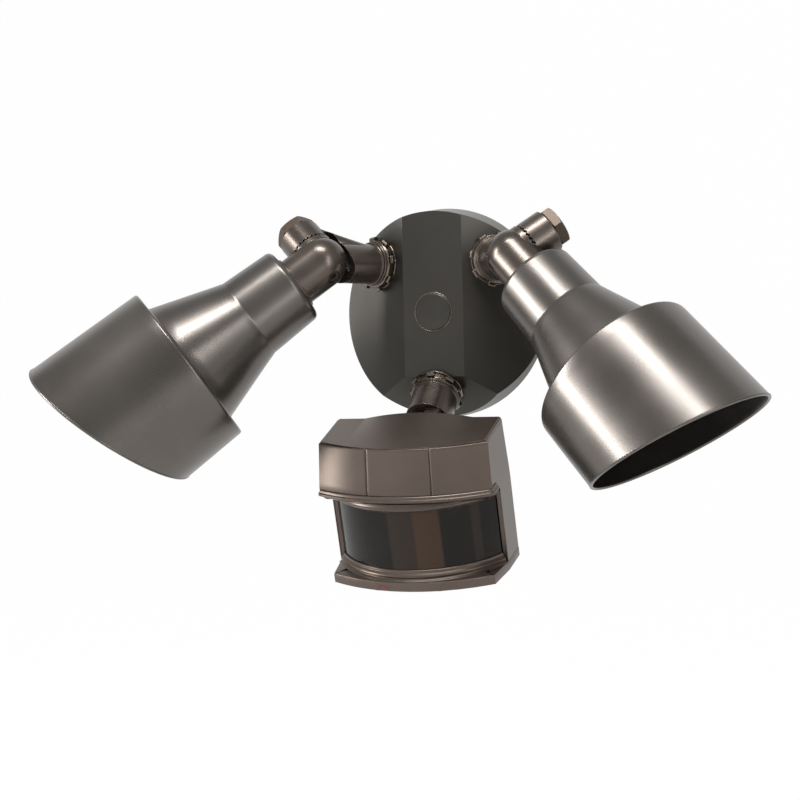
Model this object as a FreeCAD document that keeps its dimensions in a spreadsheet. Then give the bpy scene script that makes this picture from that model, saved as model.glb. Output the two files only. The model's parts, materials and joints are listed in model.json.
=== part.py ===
import FreeCAD, Part
import math
import os
import Sketcher

# Twin-lamp wall light with a motion sensor head. Origin at the middle of the plate's back on the wall;
# +Y goes into the wall, -Y is the room, +Z is up, +X is the viewer's right.

Vector = FreeCAD.Vector
doc = FreeCAD.newDocument("SecurityLight")

# ---------------------------------------------------------------- driving dimensions (mm and degrees)

DIMENSIONS = {
    # cover plate: a drafted round casting with a flat centre strip, two side slopes and one bottom facet
    "plate_radius": 63.5, "plate_depth": 28.5, "rim_draft": 6.3, "plate_wall": 2.6,
    "strip_half_width": 18.65, "slope_angle": 29.7, "strip_bottom": 38.8, "facet_angle": 42.3,
    "gasket_flange": 1.7, "gasket_width": 8.7, "gasket_thickness": 1.6, "inner_boss_height": 6.0,
    "boss_wall": 2.8,
    # central bolt, its plug, and the strap that spans the junction box
    "plug_radius": 11.5, "plug_recess": 3.0, "plug_proud": 0.7, "bolt_radius": 2.5, "bolt_head_radius": 4.6,
    "bolt_head_height": 2.6, "strap_clearance": 3.0, "strap_end": 9.05, "strap_half_width": 11.0,
    "strap_thickness": 2.0, "box_slot_length": 12.0, "box_slot_half_width": 2.3,
    # threaded nipples, their lock nuts and washers
    "nipple_radius": 10.4, "thread_clearance": 0.05, "nipple_bore": 7.0, "nipple_inside": 9.0,
    "washer_radius": 15.0, "washer_thickness": 1.2, "nut_radius": 14.2, "nut_height": 4.6, "lug_reach": 2.2,
    "lug_width": 4.4, "lug_count": 8,
    # cast arms and serrated knuckles
    "stem_x": 36.3, "stem_height": 30.2, "stem_radius": 11.9, "collar_radius": 13.5, "bead_height": 1.3,
    "web_start": 12.0,
    "knuckle_reach": 45.7, "barrel_radius": 13.0, "barrel_length": 15.6, "joint_plane": 11.2,
    "tooth_count": 28, "tooth_height": 1.0, "tooth_gap": 0.05, "tooth_root_radius": 8.6, "swing_clearance": 1.8,
    "bead_reach": 1.6,
    # lamp holder, clamp screw and cap
    "holder_radius": 15.0, "holder_wall": 2.2, "holder_end": 26.0, "clamp_screw_radius": 2.4,
    "clamp_head_radius": 4.2, "clamp_head_height": 3.0, "clamp_seat": 10.6, "cap_across_flats": 22.0,
    "cap_height": 5.6,
    # shade: straight neck, cone, flat shoulder and slanted hood
    "neck_rear": 20.5, "neck_rear_radius": 24.1, "neck_front": 54.8, "neck_front_radius": 25.55,
    "shoulder": 98.3, "cone_radius": 39.9, "hood_rear_radius": 50.9, "hood_front_radius": 52.7,
    "hood_long_side": 177.4, "hood_short_side": 136.8, "shade_wall": 1.4, "neck_corner": 3.5,
    "shoulder_corner": 1.8, "fit_clearance": 0.1,
    # lamp socket
    "socket_radius": 19.0, "socket_length": 32.0, "socket_floor": 6.0, "shell_radius": 13.3, "shell_wall": 0.5,
    "contact_radius": 4.0, "contact_height": 1.6, "shell_standoff": 0.4, "seal_width": 4.0,
    # directions of the two lamps: turn about the stem, then swing about the knuckle, and the hood's own turn
    "left_turn": 51.9, "left_swing": 48.5, "left_hood_turn": 8.0,
    "right_turn": 57.3, "right_swing": 54.3, "right_hood_turn": 60.0,
    # sensor arm and head
    "sensor_hole": 46.0, "sensor_reach": 39.3, "sensor_stem_radius": 13.6, "sensor_disc_radius": 9.5,
    "sensor_disc_width": 9.0, "sensor_tooth": 0.5, "sensor_stem_stop": 12.0, "sensor_tilt": 18.1,
    "pivot_back": 47.6, "pivot_drop": 8.7, "pivot_nut_radius": 4.8, "pivot_nut_height": 3.2,
    "pocket_clearance": 1.0, "pocket_lining": 1.6,
    "head_field_half": 19.0, "head_half_width": 50.3, "head_bow": 10.8, "roof_depth": 31.4, "roof_slope": 4.1,
    "visor_flare": 12.7, "visor_spread": 0.2, "visor_height": 26.3, "visor_thickness": 1.6, "visor_return": 6.0,
    "trim_height": 5.2, "trim_lip": 1.0, "trim_bead": 1.0, "bead_low": 1.6, "bead_width": 1.4,
    "lens_seat": 0.8, "lens_rim": 1.4, "ring_foot": 2.0, "ring_step": 2.2,
    "lens_half_width": 45.6, "lens_front": 7.1, "lens_bow": 22.9, "lens_top": 37.9, "lens_bottom": 70.2,
    "lens_wall": 1.3, "base_front": 10.8, "base_bow": 11.3, "base_half_width": 49.1, "base_top": 77.6,
    "base_thickness": 5.3, "housing_wall": 2.5, "wing_front": 21.0, "groove_depth": 0.7,
    # electronics and controls
    "board_thickness": 1.6, "board_width": 64.0, "board_height": 46.0, "board_back": 28.0, "eye_radius": 4.6,
    "eye_height": 4.5, "eye_rise": 21.0, "indicator_x": 14.0, "indicator_width": 7.0, "indicator_height": 2.6,
    "indicator_depth": 2.0, "indicator_proud": 0.4,
    "knob_radius": 5.6, "knob_height": 4.5, "knob_shaft_radius": 2.0, "knob_x": 20.0, "control_back": 17.0,
    "switch_length": 8.0, "switch_width": 4.0, "switch_travel": 6.0, "switch_rise": 2.2, "switch_rail": 0.9,
    "running_gap": 0.06,
}

sizes = doc.addObject("Spreadsheet::Sheet", "Sizes")
for row, (alias, number) in enumerate(DIMENSIONS.items(), start=1):
    sizes.set("A%d" % row, alias)
    sizes.set("B%d" % row, str(number))
    sizes.setAlias("B%d" % row, alias)
doc.recompute()


def size(formula):
    """Value of a formula in the sheet's aliases, such as plate_radius * 2."""
    result = sizes.evalExpression(formula)
    return float(getattr(result, "Value", result))


def bind(item, **formulas):
    """Ties properties of one object to formulas in the sheet's aliases."""
    for name, formula in formulas.items():
        item.setExpression(name, sheet_formula(formula))


def sheet_formula(formula):
    """The same formula with every alias written as a cell of the sheet."""
    words = []
    word = ""
    for letter in formula + " ":
        if letter.isalnum() or letter == "_":
            word += letter
            continue
        words.append("Sizes." + word if word in DIMENSIONS else word)
        words.append(letter)
        word = ""
    return "".join(words).strip()


# ---------------------------------------------------------------- ways of making a piece

def new_body(label):
    """An empty body that will hold one piece."""
    body = doc.addObject("PartDesign::Body", label)
    body.Label = label
    return body


def sketch(body, role, points):
    """Closed outline of straight lines on one of the body's own planes, each corner given by two formulas."""
    outline = body.newObject("Sketcher::SketchObject", body.Label + "_outline")
    plane = [item for item in body.Origin.OriginFeatures if item.Role == role][0]
    outline.AttachmentSupport = (plane, "")
    outline.MapMode = "FlatFace"
    corners = [Vector(size(across), size(up), 0) for across, up in points]
    count = len(corners)
    for index in range(count):
        outline.addGeometry(Part.LineSegment(corners[index], corners[(index + 1) % count]))
    for index in range(count):
        outline.addConstraint(Sketcher.Constraint("Coincident", index, 2, (index + 1) % count, 1))
    for index, (across, up) in enumerate(points):
        for kind, formula, place in (("DistanceX", across, corners[index].x), ("DistanceY", up, corners[index].y)):
            number = outline.addConstraint(Sketcher.Constraint(kind, -1, 1, index, 1, place))
            outline.setExpression("Constraints[%d]" % number, sheet_formula(formula))
    return outline


def turn(body, points, cut=False):
    """Turns an outline of (radius, height) corners about the body's Z axis, adding or cutting."""
    kind = "PartDesign::Groove" if cut else "PartDesign::Revolution"
    feature = body.newObject(kind, body.Label + "_turned")
    feature.Profile = sketch(body, "XZ_Plane", points)
    feature.ReferenceAxis = (feature.Profile[0], ["V_Axis"])
    feature.Angle = 360
    return feature


def extrude(body, role, points, length, cut=False, symmetric=False):
    """Pads or pockets an outline by a length formula."""
    kind = "PartDesign::Pocket" if cut else "PartDesign::Pad"
    feature = body.newObject(kind, body.Label + ("_pocket" if cut else "_pad"))
    feature.Profile = sketch(body, role, points)
    feature.SideType = "Symmetric" if symmetric else "One side"
    bind(feature, Length=length)
    return feature


def drill(body, radius, start, direction, length):
    """Round hole cut out of a body, from a start point along a direction."""
    feature = body.newObject("PartDesign::SubtractiveCylinder", body.Label + "_hole")
    bind(feature, Radius=radius)
    feature.Height = length
    feature.Placement = FreeCAD.Placement(start, FreeCAD.Rotation(Vector(0, 0, 1), direction))
    return feature


def shaped(label, shape):
    """A piece whose form needs more than sketches and primitives."""
    piece = doc.addObject("Part::Feature", label)
    piece.Label = label
    piece.Shape = shape
    return piece


def place(piece, frame):
    """Puts a piece made in its own axes where it belongs."""
    piece.Placement = frame
    return piece


def turned_solid(points):
    """Solid of revolution about Z from (radius, height) corners."""
    corners = [Vector(radius, 0, height) for radius, height in points]
    face = Part.Face(Part.makePolygon(corners + corners[:1]))
    return face.revolve(Vector(0, 0, 0), Vector(0, 0, 1), 360)


def oval(centre, half_x, half_y):
    """Level oval outline about a centre, as a smooth closed curve of many points, so that lofts don't twist."""
    turns = [math.radians(angle) for angle in range(0, 360, 15)]
    curve = Part.BSplineCurve()
    curve.interpolate([centre + Vector(half_x * math.cos(a), half_y * math.sin(a), 0) for a in turns],
                      PeriodicFlag=True)
    return Part.Wire(curve.toShape())


def prism(outline, low, high):
    """Upright prism over a list of (x, y) corners between two heights."""
    corners = [Vector(across, back, low) for across, back in outline]
    return Part.Face(Part.makePolygon(corners + corners[:1])).extrude(Vector(0, 0, high - low))


def hexagon(corner, height):
    """Six-sided prism about Z, its corners at a radius."""
    ring = [(corner * math.cos(math.radians(60 * k)), corner * math.sin(math.radians(60 * k))) for k in range(6)]
    return prism(ring, 0, height)


def rod_x(radius, start, end, centre):
    """Cylinder along X between two x values, about a centre line through a point."""
    return Part.makeCylinder(radius, end - start, Vector(start, centre.y, centre.z), Vector(1, 0, 0))


def axes(origin, z_direction, x_direction):
    """Placement whose Z and X axes point as given."""
    side = z_direction.cross(x_direction)
    return FreeCAD.Placement(origin, FreeCAD.Rotation(x_direction, side, z_direction, "ZXY"))


# ---------------------------------------------------------------- where the arms and lamps stand

SLOPE = math.radians(size("slope_angle"))
FACET = math.radians(size("facet_angle"))
WALL_AXES = axes(Vector(0, 0, 0), Vector(0, -1, 0), Vector(1, 0, 0))


def stem_frame(side):
    """Hole on a side slope: the axis leaves square to the slope; x is the outward direction along it."""
    outward = Vector(side * math.cos(SLOPE), math.sin(SLOPE), 0)
    axis = Vector(side * math.sin(SLOPE), -math.cos(SLOPE), 0)
    run = size("stem_x - strip_half_width")
    depth = size("plate_depth") - run * math.tan(SLOPE)
    return Vector(side * size("stem_x"), -depth, size("stem_height")), axis, outward


def lamp_frames(side, turn_angle, swing_angle, hood_angle):
    """Placements of a lamp's arm, of its holder and of its shade."""
    hole, axis, outward = stem_frame(side)
    turn_by = math.radians(turn_angle)
    swing_by = math.radians(swing_angle)
    hood_by = math.radians(hood_angle)
    knuckle = Vector(0, 0, 1) * math.cos(turn_by) + outward * math.sin(turn_by)
    sweep = knuckle.cross(axis) * side
    aim = axis * math.cos(swing_by) + sweep * math.sin(swing_by)
    centre = hole + axis * size("knuckle_reach")
    long_side = knuckle * math.cos(hood_by) + aim.cross(knuckle) * math.sin(hood_by)
    return axes(hole, axis, knuckle), axes(centre, aim, knuckle), axes(centre, aim, long_side)


def sensor_frames():
    """Placements of the sensor's arm and of its head, whose own origin is the middle of the roof's front."""
    drop = size("sensor_hole - strip_bottom") * math.tan(FACET)
    hole = Vector(0, drop - size("plate_depth"), -size("sensor_hole"))
    axis = Vector(0, -math.cos(FACET), -math.sin(FACET))
    pivot = hole + axis * size("sensor_reach")
    tilt = FreeCAD.Rotation(Vector(1, 0, 0), size("sensor_tilt"))
    offset = tilt.multVec(Vector(0, size("pivot_back"), -size("pivot_drop")))
    return axes(hole, axis, Vector(1, 0, 0)), FreeCAD.Placement(pivot - offset, tilt)


LAMPS = {
    "left": lamp_frames(-1, size("left_turn"), size("left_swing"), size("left_hood_turn")),
    "right": lamp_frames(1, size("right_turn"), size("right_swing"), size("right_hood_turn")),
}
SENSOR_ARM_FRAME, SENSOR_FRAME = sensor_frames()

# ---------------------------------------------------------------- cover plate


def plate_form(label, inset, start):
    """Drafted round blank cut by two side slopes and the bottom facet, every face moved in by an inset."""
    body = new_body(label)
    edge = "(plate_radius + 6)"
    depth = "(plate_depth - %s)" % inset
    rim = "plate_radius - %s / cos(rim_draft) - %%s * tan(rim_draft)" % inset
    turn(body, [("0", start), (rim % start, start), (rim % depth, depth), ("0", depth)])
    half = "(strip_half_width - %s * tan(slope_angle / 2))" % inset
    low = "(strip_bottom - %s * tan(facet_angle / 2))" % inset
    for sign in ("", "-"):
        extrude(body, "XZ_Plane",
                [(sign + half, depth), (sign + edge, depth + " - (%s - %s) * tan(slope_angle)" % (edge, half)),
                 (sign + edge, depth + " + 6"), (sign + half, depth + " + 6")],
                "plate_radius * 3", cut=True, symmetric=True)
    extrude(body, "YZ_Plane",
            [("-" + low, depth), ("-" + edge, depth + " - (%s - %s) * tan(facet_angle)" % (edge, low)),
             ("-" + edge, depth + " + 6"), ("-" + low, depth + " + 6")],
            "plate_radius * 3", cut=True, symmetric=True)
    return body


def make_cover_plate():
    """Hollow casting: the outside with its holes, less an inner form that leaves a boss round every hole."""
    outside = plate_form("cover_plate_outside", "0", "gasket_thickness")
    hollow = plate_form("cover_plate_hollow", "plate_wall", "0")
    into_wall = WALL_AXES.inverse()
    for frame in (LAMPS["left"][0], LAMPS["right"][0], SENSOR_ARM_FRAME):
        hole = into_wall.multVec(frame.Base)
        axis = into_wall.Rotation.multVec(frame.Rotation.multVec(Vector(0, 0, 1)))
        boss = size("plate_wall + inner_boss_height")
        drill(hollow, "nipple_radius + boss_wall", hole - axis * boss, axis, 2 * boss)
        drill(outside, "nipple_radius + thread_clearance", hole - axis * 2 * boss, axis, 4 * boss)
    front = size("plate_depth")
    recess = size("plug_recess + bolt_head_height")
    drill(hollow, "plug_radius + boss_wall", Vector(0, 0, front - recess - size("plate_wall")), Vector(0, 0, 1), front)
    drill(outside, "plug_radius", Vector(0, 0, front - recess), Vector(0, 0, 1), front)
    drill(outside, "bolt_radius + thread_clearance", Vector(0, 0, 0), Vector(0, 0, 1), front)
    plate = doc.addObject("Part::Cut", "cover_plate")
    plate.Base = outside
    plate.Tool = hollow
    return place(plate, WALL_AXES)


def make_wall_gasket():
    body = new_body("wall_gasket")
    outer = "plate_radius + gasket_flange"
    turn(body, [(outer + " - gasket_width", "0"), (outer, "0"), (outer, "gasket_thickness"),
                (outer + " - gasket_width", "gasket_thickness")])
    return place(body, WALL_AXES)


def make_mounting_strap():
    """Flat bar just inside the gasket, with a slot near each end and the threaded middle hole."""
    body = new_body("mounting_strap")
    half = "(plate_radius + gasket_flange - gasket_width - strap_clearance)"
    extrude(body, "XY_Plane", [("-" + half, "-strap_half_width"), (half, "-strap_half_width"),
                               (half, "strap_half_width"), ("-" + half, "strap_half_width")],
            "strap_thickness")
    through = size("strap_thickness * 3")
    for sign in ("", "-"):
        middle = sign + "(" + half + " - strap_end)"
        straight = "(box_slot_length / 2 - box_slot_half_width)"
        extrude(body, "XY_Plane",
                [(middle + " - " + straight, "-box_slot_half_width"), (middle + " + " + straight, "-box_slot_half_width"),
                 (middle + " + " + straight, "box_slot_half_width"), (middle + " - " + straight, "box_slot_half_width")],
                "strap_thickness * 3", cut=True, symmetric=True)
        for end in (" - ", " + "):
            centre = size(middle + end + straight)
            drill(body, "box_slot_half_width", Vector(centre, 0, -through / 3), Vector(0, 0, 1), through)
    drill(body, "bolt_radius + thread_clearance", Vector(0, 0, -through / 3), Vector(0, 0, 1), through)
    return place(body, WALL_AXES)


def make_mounting_bolt():
    body = new_body("mounting_bolt")
    seat = "(plate_depth - plug_recess - bolt_head_height)"
    turn(body, [("0", "0"), ("bolt_radius", "0"), ("bolt_radius", seat), ("bolt_head_radius", seat),
                ("bolt_head_radius", seat + " + bolt_head_height - 0.6"),
                ("bolt_head_radius - 0.6", seat + " + bolt_head_height"), ("0", seat + " + bolt_head_height")])
    return place(body, WALL_AXES)


def make_bolt_plug():
    """Push-in plug over the bolt head, slightly domed, with a chamfered rim."""
    body = new_body("bolt_plug")
    floor = "plate_depth - plug_recess"
    turn(body, [("0", floor), ("plug_radius - 0.1", floor), ("plug_radius - 0.1", "plate_depth"),
                ("plug_radius - 0.9", "plate_depth + plug_proud"),
                ("plug_radius / 2", "plate_depth + plug_proud + 0.25"), ("0", "plate_depth + plug_proud + 0.35")])
    return place(body, WALL_AXES)


# ---------------------------------------------------------------- lock nuts and washers

def make_washer(label, frame):
    body = new_body(label)
    turn(body, [("nipple_radius + thread_clearance", "0"), ("washer_radius", "0"),
                ("washer_radius", "washer_thickness - 0.3"), ("washer_radius - 0.3", "washer_thickness"),
                ("nipple_radius + thread_clearance", "washer_thickness")])
    return place(body, frame)


def make_lock_nut(label, frame):
    """Ring nut with lugs for a spanner, patterned about its axis."""
    body = new_body(label)
    top = "washer_thickness + nut_height"
    turn(body, [("nipple_radius + thread_clearance", "washer_thickness"), ("nut_radius - 0.5", "washer_thickness"),
                ("nut_radius", "washer_thickness + 0.5"), ("nut_radius", top + " - 0.8"),
                ("nut_radius - 0.8", top), ("nipple_radius + thread_clearance", top)])
    start = "nut_radius - 1"
    end = "nut_radius + lug_reach"
    lug = extrude(body, "XZ_Plane", [(start, "washer_thickness + 0.6"), (end + " - 0.6", "washer_thickness + 0.6"),
                                     (end, "washer_thickness + 1.2"), (end, top + " - 1.4"),
                                     (end + " - 0.8", top + " - 0.6"), (start, top + " - 0.6")],
                  "lug_width", symmetric=True)
    ring = body.newObject("PartDesign::PolarPattern", label + "_lugs")
    ring.Originals = [lug]
    ring.Axis = ([item for item in body.Origin.OriginFeatures if item.Role == "Z_Axis"][0], [""])
    ring.Angle = 360
    bind(ring, Occurrences="lug_count")
    body.Tip = ring
    return place(body, frame)


# ---------------------------------------------------------------- serrated knuckles

def serration(root, tip, inner, outer, centre, shift):
    """Ring of radial teeth about an X line: each tooth tapers inwards with the pitch. shift is in pitches."""
    count = int(size("tooth_count"))
    step = 360.0 / count
    under = root - math.copysign(0.2, tip - root)
    ends = []
    for radius in (inner, outer):
        half = radius * math.tan(math.radians(step / 2)) * 0.94
        corners = [Vector(under, -half, radius), Vector(root, -half, radius), Vector(tip, 0, radius),
                   Vector(root, half, radius), Vector(under, half, radius)]
        ends.append(Part.makePolygon(corners + corners[:1]))
    tooth = Part.makeLoft(ends, True, True)
    tooth.translate(centre)
    teeth = []
    for index in range(count):
        copy = tooth.copy()
        copy.rotate(centre, Vector(1, 0, 0), (index + shift) * step)
        teeth.append(copy)
    return teeth


def nipple_and_collar(stem_radius, end):
    """Threaded nipple, two beads that cover the lock nut's face, and the stem tube."""
    nipple = size("nipple_radius")
    collar = max(size("collar_radius"), stem_radius + 1.2)
    bead = size("bead_height")
    start = size("washer_thickness + nut_height") + 0.3
    return turned_solid([
        (0, -size("nipple_inside")), (nipple, -size("nipple_inside")), (nipple, start), (collar - 0.4, start),
        (collar, start + 0.4), (collar, start + bead - 0.4), (collar - 0.4, start + bead),
        (stem_radius + 0.3, start + bead), (stem_radius + 0.3, start + bead + 0.5),
        (collar - 0.8, start + bead + 0.5), (collar - 0.5, start + bead + 0.9),
        (collar - 0.5, start + 2 * bead), (collar - 0.9, start + 2 * bead + 0.4),
        (stem_radius, start + 2 * bead + 0.4), (stem_radius, end), (0, end)])


def make_lamp_arm(label, frame):
    """Casting that carries a lamp: stem, swept web and a barrel whose face is serrated."""
    reach = size("knuckle_reach")
    stem = size("stem_radius")
    barrel = size("barrel_radius")
    plane = size("joint_plane + tooth_gap")
    root = plane + size("tooth_height")
    far = size("joint_plane + barrel_length")
    saddle = size("holder_radius + swing_clearance")
    centre = Vector(0, 0, reach)
    body = nipple_and_collar(stem, reach - saddle + 5)
    middle = (root + far) / 2 + 0.4
    web = Part.makeLoft([oval(Vector(0, 0, size("web_start")), stem - 0.3, stem - 0.3),
                         oval(Vector(middle, 0, reach), (far - root) / 2 - 0.9, barrel - 0.6)], True, True)
    round_end = turned_solid([(0, 0), (barrel, 0), (barrel, far - root - 1.2), (barrel - 1.2, far - root),
                              (0, far - root)])
    round_end.Placement = axes(Vector(root, 0, reach), Vector(1, 0, 0), Vector(0, 0, -1))
    body = body.fuse([web, round_end])
    sweep_room = rod_x(saddle, -2 * saddle, root, centre)
    ring_room = rod_x(saddle, root - 1, size("holder_radius + 0.4"), centre)
    ring_room = ring_room.cut(rod_x(barrel, root - 2, far, centre))
    body = body.cut([sweep_room, ring_room])
    body = body.fuse(serration(root, plane, size("tooth_root_radius"), barrel - 0.15, centre, 0.5))
    inside = size("nipple_inside")
    bore = Part.makeCylinder(size("nipple_bore"), reach - saddle + inside, Vector(0, 0, -inside))
    screw_hole = rod_x(size("clamp_screw_radius + thread_clearance"), 0, far + 1, centre)
    body = body.cut([bore, screw_hole])
    return place(shaped(label, body.removeSplitter()), frame)


def make_lamp_holder(label, frame):
    """Dome-ended tube with a flat serrated boss on one side and the clamp screw's seat on the other."""
    outer = size("holder_radius")
    inner = size("holder_radius - holder_wall")
    end = size("holder_end")
    root = size("joint_plane - tooth_height")
    barrel = size("barrel_radius")
    centre = Vector(0, 0, 0)
    tube = Part.makeSphere(outer).fuse(Part.makeCylinder(outer, end))
    hollow = Part.makeSphere(inner).fuse(Part.makeCylinder(inner, end))
    bead = size("neck_rear")
    rim = size("holder_radius + bead_reach")
    tube = tube.fuse(turned_solid([(outer - 1, bead - 1.6), (rim - 0.4, bead - 1.6), (rim, bead - 1.2), (rim, bead),
                                   (outer - 1, bead)]))
    tube = tube.cut(hollow)
    tube = tube.cut(rod_x(barrel + 0.5, root, outer + 5, centre))
    tube = tube.fuse([rod_x(barrel + 0.3, root - 2.8, root, centre),
                      rod_x(size("clamp_head_radius") + 1.6, -inner - 0.6, root - 1, centre)])
    seat = size("clamp_seat")
    tube = tube.cut([rod_x(size("clamp_head_radius") + 0.2, -outer - 2, -seat, centre),
                     rod_x(size("clamp_screw_radius + thread_clearance"), -outer, outer, centre)])
    tube = tube.fuse(serration(root, size("joint_plane"), size("tooth_root_radius"), barrel - 0.15, centre, 0.0))
    return place(shaped(label, tube.removeSplitter()), frame)


def make_clamp_screw(label, frame):
    """Cap screw along the knuckle: its head sits in the holder's seat and its end in the cap."""
    seat = size("clamp_seat")
    head = size("clamp_head_height")
    end = size("joint_plane + barrel_length + cap_height") - 1.2
    screw = rod_x(size("clamp_head_radius"), -seat - head, -seat, Vector(0, 0, 0))
    screw = screw.fuse(rod_x(size("clamp_screw_radius"), -seat - 1, end, Vector(0, 0, 0)))
    key = turned_solid([(0, 0), (1.9, 0), (1.9, 1.8), (0, 1.8)])
    key.Placement = axes(Vector(-seat - head, 0, 0), Vector(1, 0, 0), Vector(0, 0, -1))
    return place(shaped(label, screw.cut(key)), frame)


def make_clamp_cap(label, frame):
    """Six-sided cap nut against the far end of the barrel."""
    near = size("joint_plane + barrel_length")
    height = size("cap_height")
    corner = size("cap_across_flats") / math.sqrt(3)
    nut = hexagon(corner, height)
    dome = turned_solid([(0, -1), (corner + 1, -1), (corner + 1, height - 1.6), (corner - 1.6, height), (0, height)])
    nut = nut.common(dome)
    nut = nut.cut(Part.makeCylinder(size("clamp_screw_radius + thread_clearance"), height - 0.9))
    nut.Placement = axes(Vector(near, 0, 0), Vector(1, 0, 0), Vector(0, 0, -1))
    solid = Part.makeCompound([nut]).Solids[0]
    piece = shaped(label, solid)
    return place_moved(piece, frame)


def place_moved(piece, frame):
    """Moves a shape that already has a place of its own by a further frame."""
    piece.Placement = frame.multiply(piece.Placement)
    return piece


# ---------------------------------------------------------------- shade, socket and their seals

def shade_walls(hood_end):
    """Outer and inner profiles of the shade, from the neck's rear face to a given end of the hood."""
    rear, front = size("neck_rear"), size("neck_front")
    shoulder, wall = size("shoulder"), size("shade_wall")
    neck_rear, neck_front = size("neck_rear_radius"), size("neck_front_radius")
    cone, hood = size("cone_radius"), size("hood_rear_radius")
    corner, edge = size("neck_corner"), size("shoulder_corner")
    slope = (size("hood_front_radius") - hood) / (size("hood_long_side") - shoulder)
    end = hood + slope * (hood_end - shoulder)
    rounding = [(neck_rear - corner * (1 - math.sin(math.radians(a))), rear + corner * (1 - math.cos(math.radians(a))))
                for a in (0, 30, 60, 90)]
    outer = rounding + [(neck_front, front), (cone, shoulder - edge), (cone + 0.3, shoulder), (hood - edge, shoulder),
                        (hood, shoulder + edge), (end, hood_end)]
    inner = [(end - wall, hood_end), (hood - wall, shoulder + wall + 0.6), (hood - wall - 0.6, shoulder + wall),
             (cone - wall + 0.2, shoulder + wall), (neck_front - wall + 0.2, front + wall),
             (neck_rear - wall, rear + corner), (neck_rear - corner, rear + wall)]
    return outer, inner


def make_shade(label, frame):
    """Spun shade: cup neck, flared shoulder and a hood whose mouth is cut on a slant, with a rolled lip."""
    long_side, short_side = size("hood_long_side"), size("hood_short_side")
    tube_hole = size("holder_radius + fit_clearance")
    outer, inner = shade_walls(long_side)
    body = turned_solid([(tube_hole, size("neck_rear"))] + outer + inner + [(tube_hole, size("neck_rear + shade_wall"))])
    radius = size("hood_front_radius")
    lean = (long_side - short_side) / (2 * radius)
    far = 2 * radius
    middle = (long_side + short_side) / 2
    wedge = [Vector(-far, -far, middle - lean * far), Vector(far, -far, middle + lean * far),
             Vector(far, -far, long_side + far), Vector(-far, -far, long_side + far)]
    waste = Part.Face(Part.makePolygon(wedge + wedge[:1])).extrude(Vector(0, 2 * far, 0))
    return place(shaped(label, body.cut(waste)), frame)


def make_shade_nut(label, frame):
    """Threaded ring that holds the shade on the holder tube."""
    body = new_body(label)
    start = "neck_rear + shade_wall"
    turn(body, [("holder_radius + fit_clearance", start), ("holder_radius + 3.4", start),
                ("holder_radius + 3.4", start + " + 3.2"), ("holder_radius + 2.8", start + " + 3.8"),
                ("holder_radius + fit_clearance", start + " + 3.8")])
    return place(body, frame)


def make_socket(label, frame):
    """Ceramic lampholder: a plain outside with two steps and the bore that takes the screw shell."""
    body = new_body(label)
    rear = "holder_end"
    front = "holder_end + socket_length"
    bore = "shell_radius + shell_wall"
    turn(body, [("0", rear), ("socket_radius - 2.6", rear), ("socket_radius - 1.6", rear + " + 1"),
                ("socket_radius - 1.6", rear + " + 9"), ("socket_radius", rear + " + 10.6"),
                ("socket_radius", front + " - 1"), ("socket_radius - 1", front),
                (bore + " + 0.8", front), (bore, front + " - 0.8"),
                (bore, rear + " + socket_floor"), ("0", rear + " + socket_floor")])
    return place(body, frame)


def make_screw_shell(label, frame):
    """Drawn brass shell held in the socket's bore above the contact, its lip turned out over the chamfer."""
    body = new_body(label)
    floor = "holder_end + socket_floor + contact_height + shell_standoff"
    front = "holder_end + socket_length"
    outer = "shell_radius + shell_wall"
    turn(body, [("shell_radius", floor), (outer, floor), (outer, front + " - 0.8"), (outer + " + 0.4", front + " - 0.4"),
                (outer + " + 0.1", front + " - 0.1"), ("shell_radius", front + " - 0.8")])
    return place(body, frame)


def make_center_contact(label, frame):
    body = new_body(label)
    floor = "holder_end + socket_floor"
    turn(body, [("0", floor), ("contact_radius", floor), ("contact_radius", floor + " + contact_height * 0.6"),
                ("contact_radius / 2", floor + " + contact_height"), ("0", floor + " + contact_height")])
    return place(body, frame)


def make_neck_seal(label, frame):
    """Rubber ring round the socket's mouth, against the inside of the neck."""
    body = new_body(label)
    end = "neck_front - 1"
    rise = "(neck_front_radius - neck_rear_radius) / (neck_front - neck_rear)"
    reach = "neck_front_radius - shade_wall - 0.15 - (1 + seal_width) * " + rise
    turn(body, [("socket_radius", end + " - seal_width"), (reach + " - 0.3", end + " - seal_width"),
                (reach, end + " - seal_width + 0.6"), (reach, end + " - 0.6"), (reach + " - 0.8", end),
                ("socket_radius", end)])
    return place(body, frame)


# ---------------------------------------------------------------- sensor arm and head

def make_sensor_arm(frame):
    """Short arm: stem with the same collars, then a flat tongue whose disc is serrated on one face."""
    reach = size("sensor_reach")
    stem = size("sensor_stem_radius")
    disc = size("sensor_disc_radius")
    near = size("tooth_gap / 2")
    root = near + size("sensor_tooth")
    far = size("sensor_disc_width")
    centre = Vector(0, 0, reach)
    body = nipple_and_collar(stem, reach - size("sensor_stem_stop"))
    start = reach - size("sensor_stem_stop") - 1
    tongue = Part.makeBox(far - root, 2 * disc, reach - start, Vector(root, -disc, start))
    body = body.fuse([tongue, rod_x(disc, root, far, centre)])
    body = body.fuse(serration(root, near, disc * 0.55, disc - 0.1, centre, 0.5))
    body = body.cut([Part.makeCylinder(size("nipple_bore"), reach - size("sensor_stem_stop") - 3 + size("nipple_inside"),
                                       Vector(0, 0, -size("nipple_inside"))),
                     rod_x(size("clamp_screw_radius + thread_clearance"), -1, far + 1, centre)])
    return place(shaped("sensor_arm", body.removeSplitter()), frame)


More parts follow.
